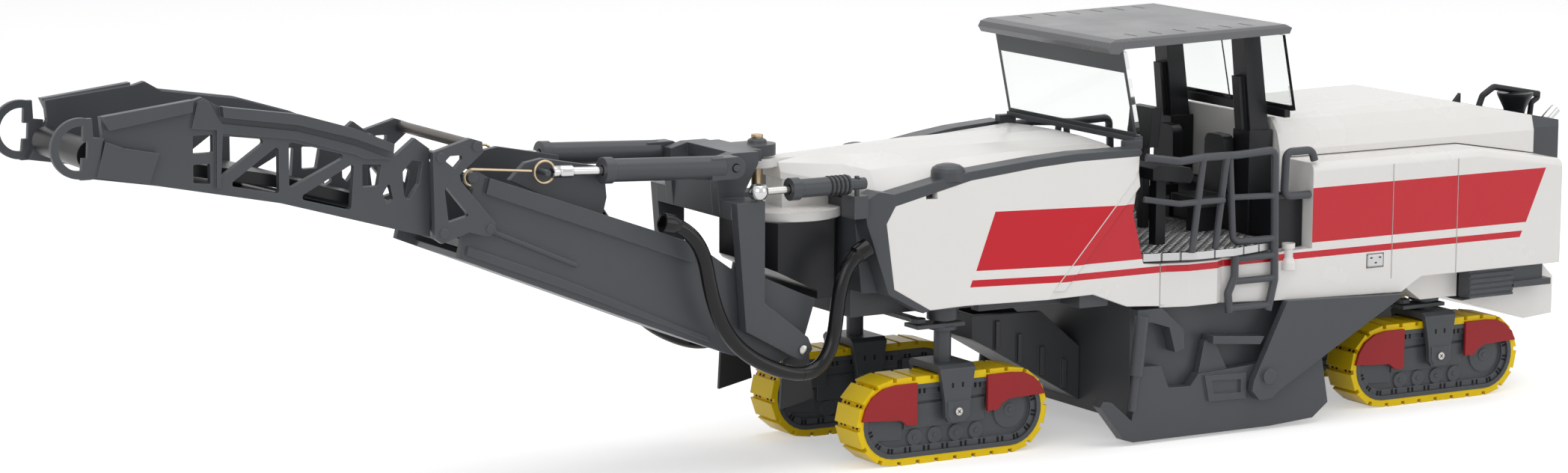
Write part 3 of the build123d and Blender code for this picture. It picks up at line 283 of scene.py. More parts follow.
def fill_grain():
    """Soft mottling of colour and roughness, rounded edges with a painted highlight, and fine
    bumps.
    """
    link = grain.links.new
    given = grain_in.outputs
    soft_edge = grain.nodes.new("ShaderNodeBevel")
    soft_edge.samples = bevel_samples
    link(given["Edge"], soft_edge.inputs["Radius"])
    flat = grain.nodes.new("ShaderNodeNewGeometry")
    along = grain.nodes.new("ShaderNodeVectorMath")
    along.operation = "DOT_PRODUCT"
    link(soft_edge.outputs["Normal"], along.inputs[0])
    link(flat.outputs["Normal"], along.inputs[1])
    apart = add_math(grain, "SUBTRACT", 1.0, along.outputs["Value"])
    edge = add_math(grain, "MULTIPLY", apart, edge_gain)
    # Rounded edges get a lighter colour: a painted highlight for the light they catch
    edge_highlight = add_math(grain, "MULTIPLY", edge, given["Painted_Highlight"])

    cloud = add_math(grain, "SUBTRACT", add_noise(grain, cloud_scale, cloud_detail), 0.5)
    gain = add_math(grain, "ADD", add_math(grain, "MULTIPLY", cloud, given["Mottle"]), 1.0)
    tint = grain.nodes.new("ShaderNodeVectorMath")
    tint.operation = "SCALE"
    link(given["Color"], tint.inputs[0])
    link(add_math(grain, "ADD", gain, edge_highlight), tint.inputs["Scale"])
    link(tint.outputs[0], grain_out.inputs["Color"])

    uneven = add_math(grain, "MULTIPLY", cloud, gloss_change)
    gloss = add_math(grain, "ADD", uneven, given["Roughness"])
    link(gloss, grain_out.inputs["Roughness"])

    bump = grain.nodes.new("ShaderNodeBump")
    bump.inputs["Distance"].default_value = bump_height
    link(given["Grain"], bump.inputs["Strength"])
    link(add_noise(grain, bump_scale, bump_detail), bump.inputs["Height"])
    link(soft_edge.outputs["Normal"], bump.inputs["Normal"])
    link(bump.outputs["Normal"], grain_out.inputs["Normal"])


fill_grain()
print("group", grain.name, "with", len(grain.nodes), "nodes")

# %% Make the finishes
finish_table = {
    # name: colour, roughness, metallic, specular level, mottle, grain, painted edge highlight
    "grey_plastic": ((0.07, 0.075, 0.083), 0.36, 0.0, 0.28, 0.14, 0.14, 0.9),
    "black_plastic": ((0.013, 0.014, 0.016), 0.34, 0.0, 0.28, 0.1, 0.12, 0.8),
    "black_hose": ((0.005, 0.005, 0.006), 0.13, 0.0, 0.3, 0.05, 0.03, 0.1),
    "white_body": ((0.8, 0.785, 0.765), 0.24, 0.0, 0.4, 0.03, 0.04, 0.0),
    "yellow_track": ((0.86, 0.6, 0.004), 0.32, 0.0, 0.22, 0.16, 0.1, 0.1),
    "red_plastic": ((0.33, 0.02, 0.024), 0.34, 0.0, 0.22, 0.1, 0.1, 0.3),
    "silver_tread": ((0.5, 0.5, 0.5), 0.34, 0.85, 0.5, 0.15, 0.1, 0.2),
    "chrome_trim": ((0.56, 0.56, 0.56), 0.16, 1.0, 0.5, 0.02, 0.02, 0.0),
    "steel_rod": ((0.5, 0.49, 0.47), 0.24, 1.0, 0.5, 0.1, 0.05, 0.0),
    "brass_pin": ((0.5, 0.39, 0.25), 0.28, 1.0, 0.5, 0.1, 0.05, 0.0),
    # Also on the pin heads' crosses, where it is painted shade for their recess
    "dark_steel_and_recess_shade": ((0.15, 0.135, 0.125), 0.38, 0.7, 0.4, 0.15, 0.1, 0.2),
    # Also on the shoe holes' pads, where it is painted shade for the holes
    "dark_mark_and_hole_shade": ((0.006, 0.006, 0.007), 0.6, 0.0, 0.2, 0.1, 0.1, 0.0),
}
# Grey plastic with a higher specular level for its real sheen; its colour, a little lighter than
# grey_plastic's, is painted sheen
roof_row = ((0.085, 0.088, 0.094), 0.3, 0.0, 0.8, 0.14, 0.1, 0.9)


def make_finish(name, colour, roughness, metallic, specular, mottle, grain_strength, painted_highlight):
    """One Principled shader fed by the moulded grain group."""
    material = bpy.data.materials.new(name)
    material.use_nodes = True
    tree = material.node_tree
    shader = tree.nodes["Principled BSDF"]
    group = tree.nodes.new("ShaderNodeGroup")
    group.name = "grain"
    group.node_tree = grain
    fill_inputs(tree, group, {"Color": (*colour, 1), "Roughness": roughness, "Mottle": mottle,
                              "Grain": grain_strength, "Painted_Highlight": painted_highlight})
    fill_inputs(tree, shader, {"Base Color": group.outputs["Color"],
                               "Roughness": group.outputs["Roughness"],
                               "Normal": group.outputs["Normal"], "Metallic": metallic,
                               "Specular IOR Level": specular})
    return material


finishes = {name: make_finish(name, *row) for name, row in finish_table.items()}
roof_finish = make_finish("roof_plastic", *roof_row)
print("finishes", list(finishes))

# %% [markdown]
# ## Clear windows
# The two windows are thin clear mouldings with a faint green-grey tint. Mixing a Transparent and a
# Glossy shader would do, but the export reads one Principled shader best. Its low index of
# refraction bends what lies behind only a little, as a thin sheet does.

# %% Make the clear window
window_values = {"Base Color": (0.9, 0.925, 0.91, 1), "Roughness": 0.02,
                 "Transmission Weight": 1.0, "IOR": 1.12}
window = bpy.data.materials.new("clear_window")
window.use_nodes = True
fill_inputs(window.node_tree, window.node_tree.nodes["Principled BSDF"], window_values)
finishes["clear_window"] = window
print("window values", list(window_values))

# %% [markdown]
# ## The stripe on the body
# The white body carries a plain broad red stripe with a thin one under it. It is paint, so it has
# no thickness: a mask made from the surface's own place picks red or white. It could also be a
# thin plate, but that would stand off the crowned edges.

# %% Build the stripe group
def split_output(tree, kind, label):
    """The X, Y and Z of one output of a new node."""
    source = tree.nodes.new(kind)
    split = tree.nodes.new("ShaderNodeSeparateXYZ")
    tree.links.new(source.outputs[label], split.inputs[0])
    return split.outputs


def mix_colours(tree, mask, first, second):
    """The first colour, or the second where the mask is 1. Either may be a socket."""
    mix = tree.nodes.new("ShaderNodeMixRGB")
    fill_inputs(tree, mix, {"Fac": mask, "Color1": first, "Color2": second})
    return mix.outputs[0]


stripe_group, stripe_in, stripe_out = new_group(
    "painted_stripe",
    [("Low", "NodeSocketFloat", 20.0 * MM), ("High", "NodeSocketFloat", 25.0 * MM),
     ("Front", "NodeSocketFloat", 0.0), ("Rear", "NodeSocketFloat", 70.0 * MM),
     ("Slant", "NodeSocketFloat", 0.5), ("Side", "NodeSocketFloat", 1.0)],
    [("Mask", "NodeSocketFloat")])


def fill_stripe():
    """A mask that is 1 between two heights and two slanted ends, on the sides only."""
    tree = stripe_group
    value = stripe_in.outputs
    spot = split_output(tree, "ShaderNodeTexCoord", "Object")
    lean = add_math(tree, "MULTIPLY", add_math(tree, "SUBTRACT", spot["Z"], value["Low"]),
                    value["Slant"])
    along = add_math(tree, "SUBTRACT", spot["X"], lean)
    mask = value["Side"]
    for operation, first, second in (("GREATER_THAN", spot["Z"], value["Low"]),
                                     ("LESS_THAN", spot["Z"], value["High"]),
                                     ("GREATER_THAN", along, value["Front"]),
                                     ("LESS_THAN", along, value["Rear"])):
        mask = add_math(tree, "MULTIPLY", mask, add_math(tree, operation, first, second))
    tree.links.new(mask, stripe_out.inputs["Mask"])


fill_stripe()
print("group", stripe_group.name, "with", len(stripe_group.nodes), "nodes")

# %% Paint the striped body
stripe_rows = [
    # lowest and highest height, front and rear station at the lowest height, all in millimetres
    (19.6, 25.4, 1.5, 71.5),
    (18.0, 18.7, 0.7, 70.7),
]
stripe_slant = 0.45
stripe_red = (0.56, 0.008, 0.02, 1)
side_facing = 0.6
paint_reach = 14.5 * MM
fitting_x = 37.6


def paint_stripes(material):
    """Mixes red into the finish's colour wherever a stripe's mask says so."""
    tree = material.node_tree
    finish = tree.nodes["grain"]
    facing = split_output(tree, "ShaderNodeNewGeometry", "Normal")
    spot = split_output(tree, "ShaderNodeTexCoord", "Object")
    away = add_math(tree, "MULTIPLY", facing["Y"], add_math(tree, "SIGN", spot["Y"]))
    on_side = add_math(tree, "GREATER_THAN", away, side_facing)
    # Behind fitting_x, what stands further out than paint_reach is a fitting, and stays unpainted
    flush = add_math(tree, "LESS_THAN", add_math(tree, "ABSOLUTE", spot["Y"]), paint_reach)
    ahead = add_math(tree, "LESS_THAN", spot["X"], station(fitting_x, 0, 0).x)
    on_side = add_math(tree, "MULTIPLY", on_side, add_math(tree, "MAXIMUM", flush, ahead))
    shown = tuple(finish.inputs["Color"].default_value)
    for low, high, front, rear in stripe_rows:
        stripe = tree.nodes.new("ShaderNodeGroup")
        stripe.node_tree = stripe_group
        fill_inputs(tree, stripe, {"Low": low * MM, "High": high * MM, "Slant": stripe_slant,
                                   "Front": station(front, 0, 0).x,
                                   "Rear": station(rear, 0, 0).x, "Side": on_side})
        shown = mix_colours(tree, stripe.outputs["Mask"], shown, stripe_red)
    tree.links.new(shown, finish.inputs["Color"])


striped = make_finish("striped_body", *finish_table["white_body"])
paint_stripes(striped)
print("stripes", len(stripe_rows))

# %% [markdown]
# ## Tread plate colour
# The platform floor is printed silver, but its upward face is dark between the raised marks. It
# could be cut into two pieces with a finish each, but the face's own normal already tells which
# way it looks, and picks the darker silver on top.

# %% Darken the upward face of the tread
tread_dark = (0.03, 0.03, 0.032, 1)
top_facing = 0.7


def darken_top(material, dark):
    """Uses a dark colour wherever the surface looks up."""
    tree = material.node_tree
    finish = tree.nodes["grain"]
    facing = split_output(tree, "ShaderNodeNewGeometry", "Normal")
    looks_up = add_math(tree, "GREATER_THAN", facing["Z"], top_facing)
    plain = tuple(finish.inputs["Color"].default_value)
    tree.links.new(mix_colours(tree, looks_up, plain, dark), finish.inputs["Color"])


floor_finish = make_finish("tread_floor", *finish_table["silver_tread"])
darken_top(floor_finish, tread_dark)
print("tread colour", tread_dark[:3])

# %% Give each node its finish
special_finishes = {"side_panels": striped, "rear_body": striped, "platform_floor": floor_finish,
                    "canopy_roof": roof_finish}
for part in frame["record"]["subparts"]:
    slots = nodes[part["node"]].data.materials
    slots.clear()
    slots.append(special_finishes.get(part["node"], finishes[part["material_slot"]]))

# %% [markdown]
# ## Helpers for small pieces
# Most added pieces are thin prisms, turned forms and tubes. Curves with a bevel and Screw
# modifiers make such forms too, but a bmesh takes several closed forms into one piece. Each
# helper adds one form to it, and `finish_piece` turns the bmesh into an object with a finish, and
# lets it ride on the body that carries it.

# %% Write the mesh helpers
smooth_angle = math.radians(40)
print("edges under", round(math.degrees(smooth_angle)), "degrees look smooth")


def join_rings(mesh, rings, closed):
    """Faces between rings of points; the ends are capped, or joined to each other."""
    pairs = list(zip(rings, rings[1:]))
    if closed:
        pairs.append((rings[-1], rings[0]))
    else:
        mesh.faces.new(list(reversed(rings[0])))
        mesh.faces.new(rings[-1])
    for near, far in pairs:
        for index in range(len(near)):
            follow = (index + 1) % len(near)
            mesh.faces.new((near[index], near[follow], far[follow], far[index]))


def add_prism(mesh, ring, shift):
    """A closed prism: a ring of points and the same ring moved by a shift."""
    near = [mesh.verts.new(point) for point in ring]
    far = [mesh.verts.new(Vector(point) + shift) for point in ring]
    join_rings(mesh, [near, far], False)


def add_box(mesh, low, high):
    """An upright box between two corners."""
    ring = [(low[0], low[1], low[2]), (high[0], low[1], low[2]),
            (high[0], high[1], low[2]), (low[0], high[1], low[2])]
    add_prism(mesh, ring, Vector((0, 0, high[2] - low[2])))


def add_circle(mesh, centre, across, other, radius, sides):
    """A ring of points round a centre, in the plane of two directions."""
    ring = []
    for step in range(sides):
        angle = 2 * math.pi * step / sides
        ring.append(mesh.verts.new(centre + (across * math.cos(angle) + other * math.sin(angle))
                                   * radius))
    return ring


def add_turned(mesh, centre, axis, profile, closed=False, sides=24):
    """A turned form from distances along its axis and radii; a closed profile makes a ring."""
    axis = Vector(axis).normalized()
    across = axis.orthogonal().normalized()
    other = axis.cross(across)
    rings = [add_circle(mesh, Vector(centre) + axis * distance, across, other, radius, sides)
             for distance, radius in profile]
    join_rings(mesh, rings, closed)


def add_tube(mesh, path, radii, sides=16):
    """A round tube along points that lie in one upright plane, with a radius for each point."""
    sideways = Vector((0, 1, 0))
    rings = []
    for index, point in enumerate(path):
        before = path[max(index - 1, 0)]
        after = path[min(index + 1, len(path) - 1)]
        upward = (after - before).normalized().cross(sideways).normalized()
        rings.append(add_circle(mesh, point, sideways, upward, radii[index], sides))
    join_rings(mesh, rings, False)


def finish_piece(name, mesh, finish, body=None, smooth=False):
    """An object from a bmesh, with its normals outward and its finish, riding on a body."""
    bmesh.ops.recalc_face_normals(mesh, faces=mesh.faces)
    data = bpy.data.meshes.new(name)
    mesh.to_mesh(data)
    mesh.free()
    piece = new_object(name, data)
    data.materials.append(finishes[finish])
    if smooth:
        data.shade_smooth()
        data.set_sharp_from_angle(angle=smooth_angle)
    if body:
        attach(piece, body)
    print("piece", name, len(data.polygons), "faces")
    return piece


# %% [markdown]
# ## What repeats: marks, bolts and tread
# Link bolts, shoe holes, roller hubs and the tread's raised marks are the same small form many
# times. An Array modifier repeats a form along a line, but these follow a belt or fill a plan. So a
# Geometry Nodes tree sets one form on every point of a cloud, turned by two directions that each
# point carries: the way it faces and the way it lies. The forms are realized and read back as one
# plain mesh for each body.

# %% Build the repeat trees
bolt_sides = 12


def new_repeat_tree(name, shape, sizes):
    """A tree that sets one form, a bolt or a pad, on each point and gives it a material."""
    tree = bpy.data.node_groups.new(name, "GeometryNodeTree")
    new_socket = tree.interface.new_socket
    new_socket(name="Geometry", in_out="OUTPUT", socket_type="NodeSocketGeometry")
    new_socket(name="Geometry", in_out="INPUT", socket_type="NodeSocketGeometry")
    for label, value in sizes:
        socket = new_socket(name=label, in_out="INPUT", socket_type="NodeSocketFloat")
        socket.default_value = value
    new_socket(name="Finish", in_out="INPUT", socket_type="NodeSocketMaterial")
    add = tree.nodes.new
    link = tree.links.new
    given = add("NodeGroupInput")
    result = add("NodeGroupOutput")
    if shape == "bolt":
        form = add("GeometryNodeMeshCylinder")
        form.inputs["Vertices"].default_value = bolt_sides
        link(given.outputs["Radius"], form.inputs["Radius"])
        link(given.outputs["Height"], form.inputs["Depth"])
    else:
        form = add("GeometryNodeMeshCube")
        size = add("ShaderNodeCombineXYZ")
        for axis, label in zip("XYZ", ("Length", "Width", "Height")):
            link(given.outputs[label], size.inputs[axis])
        link(size.outputs[0], form.inputs["Size"])
    turned = add("FunctionNodeAxesToRotation")
    turned.primary_axis = "Z"
    turned.secondary_axis = "X"
    for label, socket in (("facing", "Primary Axis"), ("lying", "Secondary Axis")):
        carried = add("GeometryNodeInputNamedAttribute")
        carried.data_type = "FLOAT_VECTOR"
        carried.inputs["Name"].default_value = label
        link(carried.outputs["Attribute"], turned.inputs[socket])
    repeat = add("GeometryNodeInstanceOnPoints")
    link(given.outputs["Geometry"], repeat.inputs["Points"])
    link(form.outputs["Mesh"], repeat.inputs["Instance"])
    link(turned.outputs["Rotation"], repeat.inputs["Rotation"])
    real = add("GeometryNodeRealizeInstances")
    link(repeat.outputs["Instances"], real.inputs["Geometry"])
    coat = add("GeometryNodeSetMaterial")
    link(real.outputs["Geometry"], coat.inputs["Geometry"])
    link(given.outputs["Finish"], coat.inputs["Material"])
    link(coat.outputs["Geometry"], result.inputs["Geometry"])
    return tree


bolt_tree = new_repeat_tree("bolts_on_points", "bolt", [("Radius", 0.2 * MM), ("Height", 0.1 * MM)])
pad_tree = new_repeat_tree("pads_on_points", "pad",
                           [("Length", 0.4 * MM), ("Width", 0.2 * MM), ("Height", 0.1 * MM)])
print("repeat trees", bolt_tree.name, pad_tree.name)


# %% Write the repeat helper
def repeat_piece(name, tree, places, sizes, finish, body):
    """One plain mesh with a form at each place: a point, the way it faces and the way it lies."""
    cloud = bpy.data.meshes.new(name + "_points")
    cloud.from_pydata([place[0] for place in places], [], [])
    for label, column in (("facing", 1), ("lying", 2)):
        attribute = cloud.attributes.new(label, "FLOAT_VECTOR", "POINT")
        numbers = [number for place in places for number in place[column]]
        attribute.data.foreach_set("vector", numbers)
    carrier = new_object(name + "_points", cloud)
    modifier = carrier.modifiers.new("repeat", "NODES")
    modifier.node_group = tree
    values = {label: size * MM for label, size in sizes.items()}
    values["Finish"] = finishes[finish]
    for item in tree.interface.items_tree:
        if item.in_out == "INPUT" and item.name in values:
            modifier[item.identifier] = values[item.name]
    carrier.update_tag()
    ready = carrier.evaluated_get(bpy.context.evaluated_depsgraph_get())
    data = bpy.data.meshes.new_from_object(ready)
    data.name = name
    for label in ("facing", "lying"):
        data.attributes.remove(data.attributes[label])
    # The cloud had no finish, which leaves an empty slot before the tree's own one
    data.materials.clear()
    data.materials.append(finishes[finish])
    bpy.data.objects.remove(carrier)
    piece = new_object(name, data)
    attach(piece, body)
    print("repeats", name, len(places), "times,", len(data.polygons), "faces")
    return piece


# %% [markdown]
# ## Crawlers
# Each crawler is an endless chain of shoes round a frame. Link bolts sit in pairs on the chain
# band. The holes, two pairs in each groove between the shoes, are not cut: thin dark pads stand in
# for them, as painted shade. A flat rim runs round the belt's side under the shoes, and a steel pin
# with a crossed head holds each fork; its cross is thin dark pads, painted shade for the recess. A
# Curve modifier could bend a row of them round. But the belt's line is only two straight runs and
# two half circles, so one function gives the point and the outward direction at any distance along
# it.

# %% Follow the belt's line
shoe_count = 24
shoe_depth = 0.4 * MM
belt_height = belt_high.z - belt_low.z
belt_reach = (belt_high.x - belt_low.x) / 2 - belt_height / 2
band_radius = belt_height / 2 - shoe_depth
belt_length = 4 * belt_reach + 2 * math.pi * band_radius


def belt_point(distance, rise):
    """The station and height of a point along the belt, and its outward direction."""
    distance %= belt_length
    half_turn = math.pi * band_radius
    radius = band_radius + rise
    middle_z = belt_height / 2
    if distance < 2 * belt_reach:
        return distance - belt_reach, middle_z + radius, (0, 1)
    distance -= 2 * belt_reach
    if distance < half_turn:
        angle = distance / band_radius
        way = (math.sin(angle), math.cos(angle))
        return belt_reach + radius * way[0], middle_z + radius * way[1], way
    distance -= half_turn
    if distance < 2 * belt_reach:
        return belt_reach - distance, middle_z - radius, (0, -1)
    angle = (distance - 2 * belt_reach) / band_radius
    way = (-math.sin(angle), -math.cos(angle))
    return -belt_reach + radius * way[0], middle_z + radius * way[1], way


print("belt length", round(belt_length / MM, 1), "mm")

# %% List the places of a crawler's small parts
link_row_depth = 1.15 * MM
link_bolt_shift = 0.28 * MM
hole_rows = [-1.5, -0.8, 0.8, 1.5]
rollers = [(-4.4, 2.7), (-1.95, 2.7), (0.6, 2.7), (3.05, 2.7)]
sprocket = (7.1, 4.45)
fork_bolts = [(-0.6, 7.9), (0.6, 7.9)]
pin_z = 5.2 * MM
roller_face = crawler_half_width - 0.35 * MM
sprocket_face = crawler_half_width - 0.25 * MM
chain_face = crawler_half_width - 0.2 * MM
fork_face = crawler_half_width + 0.85 * MM
boss_face = crawler_half_width + 1.15 * MM
cross_face = boss_face + 0.05 * MM


def crawler_places(centre_x, centre_y):
    """Places of the small parts of one crawler, by kind."""
    found = {"link": [], "hole": [], "hub": [], "fork": [], "pin": [], "cross": []}

    def put(kind, x, y, z, facing, lying):
        found[kind].append((Vector((centre_x + x, centre_y + y, z)), facing, lying))

    pitch = belt_length / shoe_count
    for shoe in range(shoe_count):
        for shift in (-link_bolt_shift, link_bolt_shift):
            x, z, way = belt_point((shoe + 0.5) * pitch + shift, -link_row_depth)
            for face in (-1, 1):
                put("link", x, face * chain_face, z, (0, face, 0), (way[0], 0, way[1]))
        x, z, way = belt_point(shoe * pitch, 0.0)
        for row in hole_rows:
            put("hole", x, row * MM, z, (way[0], 0, way[1]), (way[1], 0, -way[0]))
    for face in (-1, 1):
        outward = (0, face, 0)
        for x, z in rollers:
            put("hub", x * MM, face * roller_face, z * MM, outward, (1, 0, 0))
        put("hub", sprocket[0] * MM, face * sprocket_face, sprocket[1] * MM, outward, (1, 0, 0))
        for x, z in fork_bolts:
            put("fork", x * MM, face * fork_face, z * MM, outward, (0, 0, 1))
        put("pin", 0, face * boss_face, pin_z, outward, (1, 0, 0))
        for way in ((1, 0, 1), (1, 0, -1)):
            put("cross", 0, face * cross_face, pin_z, outward, way)
    return found


for kind, kind_places in crawler_places(0, 0).items():
    print("places of a crawler's", kind, len(kind_places))

# %% Write the rim of a crawler
rim_outer = 0.38 * MM
rim_inner = 0.84 * MM
rim_sink = 0.2 * MM
rim_stand = 0.05 * MM
rim_steps = 64


def add_rim(mesh, centre_x, centre_y, face):
    """A flat grey rim that follows the belt's side between two depths below its band."""
    inside = centre_y + face * (crawler_half_width - rim_sink)
    outside = centre_y + face * (crawler_half_width + rim_stand)
    rings = []
    for step in range(rim_steps):
        ring = []
        for y, depth in ((inside, rim_outer), (outside, rim_outer), (outside, rim_inner),
                         (inside, rim_inner)):
            x, z, _ = belt_point(step * belt_length / rim_steps, -depth)
            ring.append(mesh.verts.new((centre_x + x, y, z)))
        rings.append(ring)
    join_rings(mesh, rings, True)


print("rim", round((rim_inner - rim_outer) / MM, 2), "mm broad")

# %% Dress the four crawlers
crawler_parts = [
    # piece, tree, kind of place, sizes in millimetres, finish, slot
    ("link_bolts", pad_tree, "link", {"Length": 0.5, "Width": 0.2, "Height": 0.12},
     "dark_mark_and_hole_shade", None),
    # Thin dark pads, no holes: painted shade where the shoes' holes are
    ("shoe_hole_shade", pad_tree, "hole", {"Length": 0.26, "Width": 0.34, "Height": 0.04},
     "dark_mark_and_hole_shade", None),
    ("roller_hubs", bolt_tree, "hub", {"Radius": 0.26, "Height": 0.14},
     "grey_plastic", "grey_plastic"),
    ("fork_bolts", pad_tree, "fork", {"Length": 0.5, "Width": 0.22, "Height": 0.06},
     "dark_mark_and_hole_shade", None),
    ("pin_heads", bolt_tree, "pin", {"Radius": 0.42, "Height": 0.1}, "steel_rod", "steel_rod"),
    # Thin dark pads on each pin head: painted shade for its crossed recess
    ("pin_cross_shade", pad_tree, "cross", {"Length": 0.5, "Width": 0.11, "Height": 0.03},
     "dark_steel_and_recess_shade", None),
]
for end, centre_x in (("front", front_column_x), ("rear", front_column_x + wheelbase)):
    for hand, side in SIDES.items():
        label = end + "_" + hand
        body = "crawler_" + label
        places = crawler_places(centre_x, side * crawler_y)
        for piece_name, tree, kind, sizes, finish, slot in crawler_parts:
            repeat_piece(piece_name + "_" + label, tree, places[kind], sizes, finish, body)
        rims = bmesh.new()
        for face in (-1, 1):
            add_rim(rims, centre_x, side * crawler_y, face)
        finish_piece("belt_rims_" + label, rims, "grey_plastic", body)

# %% [markdown]
# ## Tread on the platform
# The platform's floor has short raised bars that lie crosswise and lengthwise in turn, as on
# chequer plate. A bump in the finish would show them only by their shading, so they are real
# bars. The floor's plan is a polygon on each side of the middle, and a grid point is kept only
# where a half-plane test says that it lies inside.

# %% Lay the tread bars
tread_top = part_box("platform_floor")[1].z
tread_pitch = 0.62
tread_rise = 0.02
tread_front = 21
tread_rear = 38
tread_rows = 26
tread_plan = [(21.0, 0.0), (21.0, 14.1), (26.4, 15.7), (30.9, 15.7), (37.4, 14.1), (38.0, 11.9),
              (38.0, 0.0)]


def inside_plan(x, y):
    """True where a station lies inside the right half of the tread plan."""
    for (x0, y0), (x1, y1) in zip(tread_plan, tread_plan[1:]):
        if (x1 - x0) * (y - y0) - (y1 - y0) * (x - x0) > 0:
            return False
    return True


tread_places = []
for column in range(int(tread_rear / tread_pitch)):
    for row in range(-tread_rows, tread_rows + 1):
        x = column * tread_pitch
        y = row * tread_pitch
        if x > tread_front and inside_plan(x, abs(y)):
            lying = (1, 0, 0) if (row + column) % 2 else (0, 1, 0)
            tread_places.append((station(x, y, tread_top / MM + tread_rise), (0, 0, 1), lying))
repeat_piece("tread_bars", pad_tree, tread_places, {"Length": 0.5, "Width": 0.17, "Height": 0.1},
             "silver_tread", "root")

# %% [markdown]
# ## Window edges
# The windscreen has a broad dark band along its top and fine dark lines round the rest. The rear
# window has a thin dark frame, a line down its middle and a bar under it. All but the bar are
# printed on the glass. A mask in the glass finish would draw them too, but clear and solid parts
# are cleaner as two meshes, so each is a plate a few hundredths of a millimetre thick that leans
# with the pane.

# %% Find the panes
screen_low, screen_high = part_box("windscreen")
back_low, back_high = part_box("rear_window")
glass_wall = 0.5 * MM
print_thick = 0.06 * MM
print_sink = 0.2


def span(side, inner, outer):
    """The lower and the higher of two distances from the middle, on one side."""
    return sorted((side * inner, side * outer))


def pane_plate(mesh, pane, low_z, high_z, low_y, high_y):
    """A thin plate on a leaning pane between two heights and two sides."""
    (x_high, z_high), (x_low, z_low), push = pane
    lean = (x_low - x_high) / (z_low - z_high)
    out = Vector((push, 0, -push * lean))
    ring = []
    for y, z in ((low_y, low_z), (high_y, low_z), (high_y, high_z), (low_y, high_z)):
        ring.append(Vector((x_high + (z - z_high) * lean, y, z)) - out * print_sink)
    add_prism(mesh, ring, out)


print("windscreen", round((screen_high.z - screen_low.z) / MM, 1), "mm high")

# %% Print the windscreen
screen_face = ((screen_low.x, screen_high.z), (screen_high.x - glass_wall, screen_low.z),
               -print_thick)
band_foot_z = 38.6 * MM
line_width = 0.42 * MM
screen_half = screen_high.y
line_top_z = screen_low.z + line_width
screen_print = bmesh.new()
pane_plate(screen_print, screen_face, band_foot_z, screen_high.z, -screen_half, screen_half)
pane_plate(screen_print, screen_face, screen_low.z, line_top_z, -screen_half, screen_half)
for side in SIDES.values():
    low_y, high_y = span(side, screen_half - line_width, screen_half)
    pane_plate(screen_print, screen_face, line_top_z, band_foot_z, low_y, high_y)
finish_piece("windscreen_print", screen_print, "grey_plastic", "root")

# %% Frame the rear window
back_face = ((back_low.x + glass_wall, back_high.z), (back_high.x, back_low.z), print_thick)
back_half = back_high.y
frame_width = 0.5 * MM
middle_half = 0.09 * MM
bar_half = 10.3 * MM
bar_low_z = 32.45 * MM
bar_front = 0.55 * MM
bar_rear = 0.15 * MM
bar_lap = 0.05 * MM
frame_top_z = back_low.z + frame_width
back_print = bmesh.new()
pane_plate(back_print, back_face, back_low.z, frame_top_z, -back_half, back_half)
pane_plate(back_print, back_face, frame_top_z, back_high.z, -middle_half, middle_half)
for side in SIDES.values():
    low_y, high_y = span(side, back_half - frame_width, back_half)
    pane_plate(back_print, back_face, frame_top_z, back_high.z, low_y, high_y)
add_box(back_print, (back_high.x - bar_front, -bar_half, bar_low_z),
        (back_high.x + bar_rear, bar_half, back_low.z + bar_lap))
finish_piece("rear_window_frame", back_print, "black_plastic", "root")

# %% [markdown]
# ## Hoses
# Two thick hoses leave the conveyor's sides, sag under its foot and rise to the machine's front.
# They cross two joints, so each hose is made in two halves that meet at its lowest point, over the
# slewing bracket: the upper half runs between the bracket and the conveyor, the lower one between
# the machine and the bracket. Neither half rides on a body. Each follows one smooth NURBS line with
# the route's points as its control points.

# %% Read the hose's smooth line
hose_route = [(-33.5, 26.9), (-29.3, 26.2), (-27.6, 17.0), (-24.0, 12.6), (-17.4, 9.9),
              (-14.0, 12.0), (-13.2, 19.6), (-11.4, 22.0), (-10.0, 22.6)]
hose_side = 10.0
line_steps = 12


def smooth_line(name, points):
    """Points read from an open NURBS curve that has the given points as control points."""
    data = bpy.data.curves.new(name, "CURVE")
    data.dimensions = "3D"
    spline = data.splines.new("NURBS")
    spline.points.add(len(points) - 1)
    for control, point in zip(spline.points, points):
        control.co = (*point, 1)
    spline.order_u = 3
    spline.use_endpoint_u = True
    spline.resolution_u = line_steps
    curve = new_object(name, data)
    ready = curve.evaluated_get(bpy.context.evaluated_depsgraph_get())
    line = bpy.data.meshes.new_from_object(ready)
    found = [vertex.co.copy() for vertex in line.vertices]
    bpy.data.objects.remove(curve)
    return found


def line_length(points):
    """The length along a line of points."""
    return sum((after - before).length for before, after in zip(points, points[1:]))


hose_lines = {}
for hand, side in SIDES.items():
    route = [station(x, side * hose_side, z) for x, z in hose_route]
    hose_lines[hand] = smooth_line("hose_line_" + hand, route)
    print("hose", hand, round(line_length(hose_lines[hand]) / MM, 1), "mm long, lowest",
          round(min(point.z for point in hose_lines[hand]) / MM, 1))

# %% Make the four hose halves
hose_radius = 0.75 * MM
collar_radius = 0.98 * MM
collar_length = 1.5 * MM
collar_lip = 0.03 * MM


def hose_half(name, line, collar_at_start):
    """A tube along part of the line, with a collar where it enters its socket."""
    form = bmesh.new()
    add_tube(form, line, [hose_radius] * len(line))
    ordered = line if collar_at_start else list(reversed(line))
    collar = [ordered[0]]
    while line_length(collar) < collar_length:
        collar.append(ordered[len(collar)])
    radii = [collar_radius] * len(collar)
    radii[-1] = hose_radius + collar_lip
    add_tube(form, collar, radii)
    piece = finish_piece(name, form, "black_hose", smooth=True)
    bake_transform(piece)
    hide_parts("hose_loops")


for hand, line in hose_lines.items():
    lowest = min(range(len(line)), key=lambda index: line[index].z)
    hose_half("hose_upper_" + hand, line[:lowest + 1], True)
    hose_half("hose_lower_" + hand, line[lowest:], False)

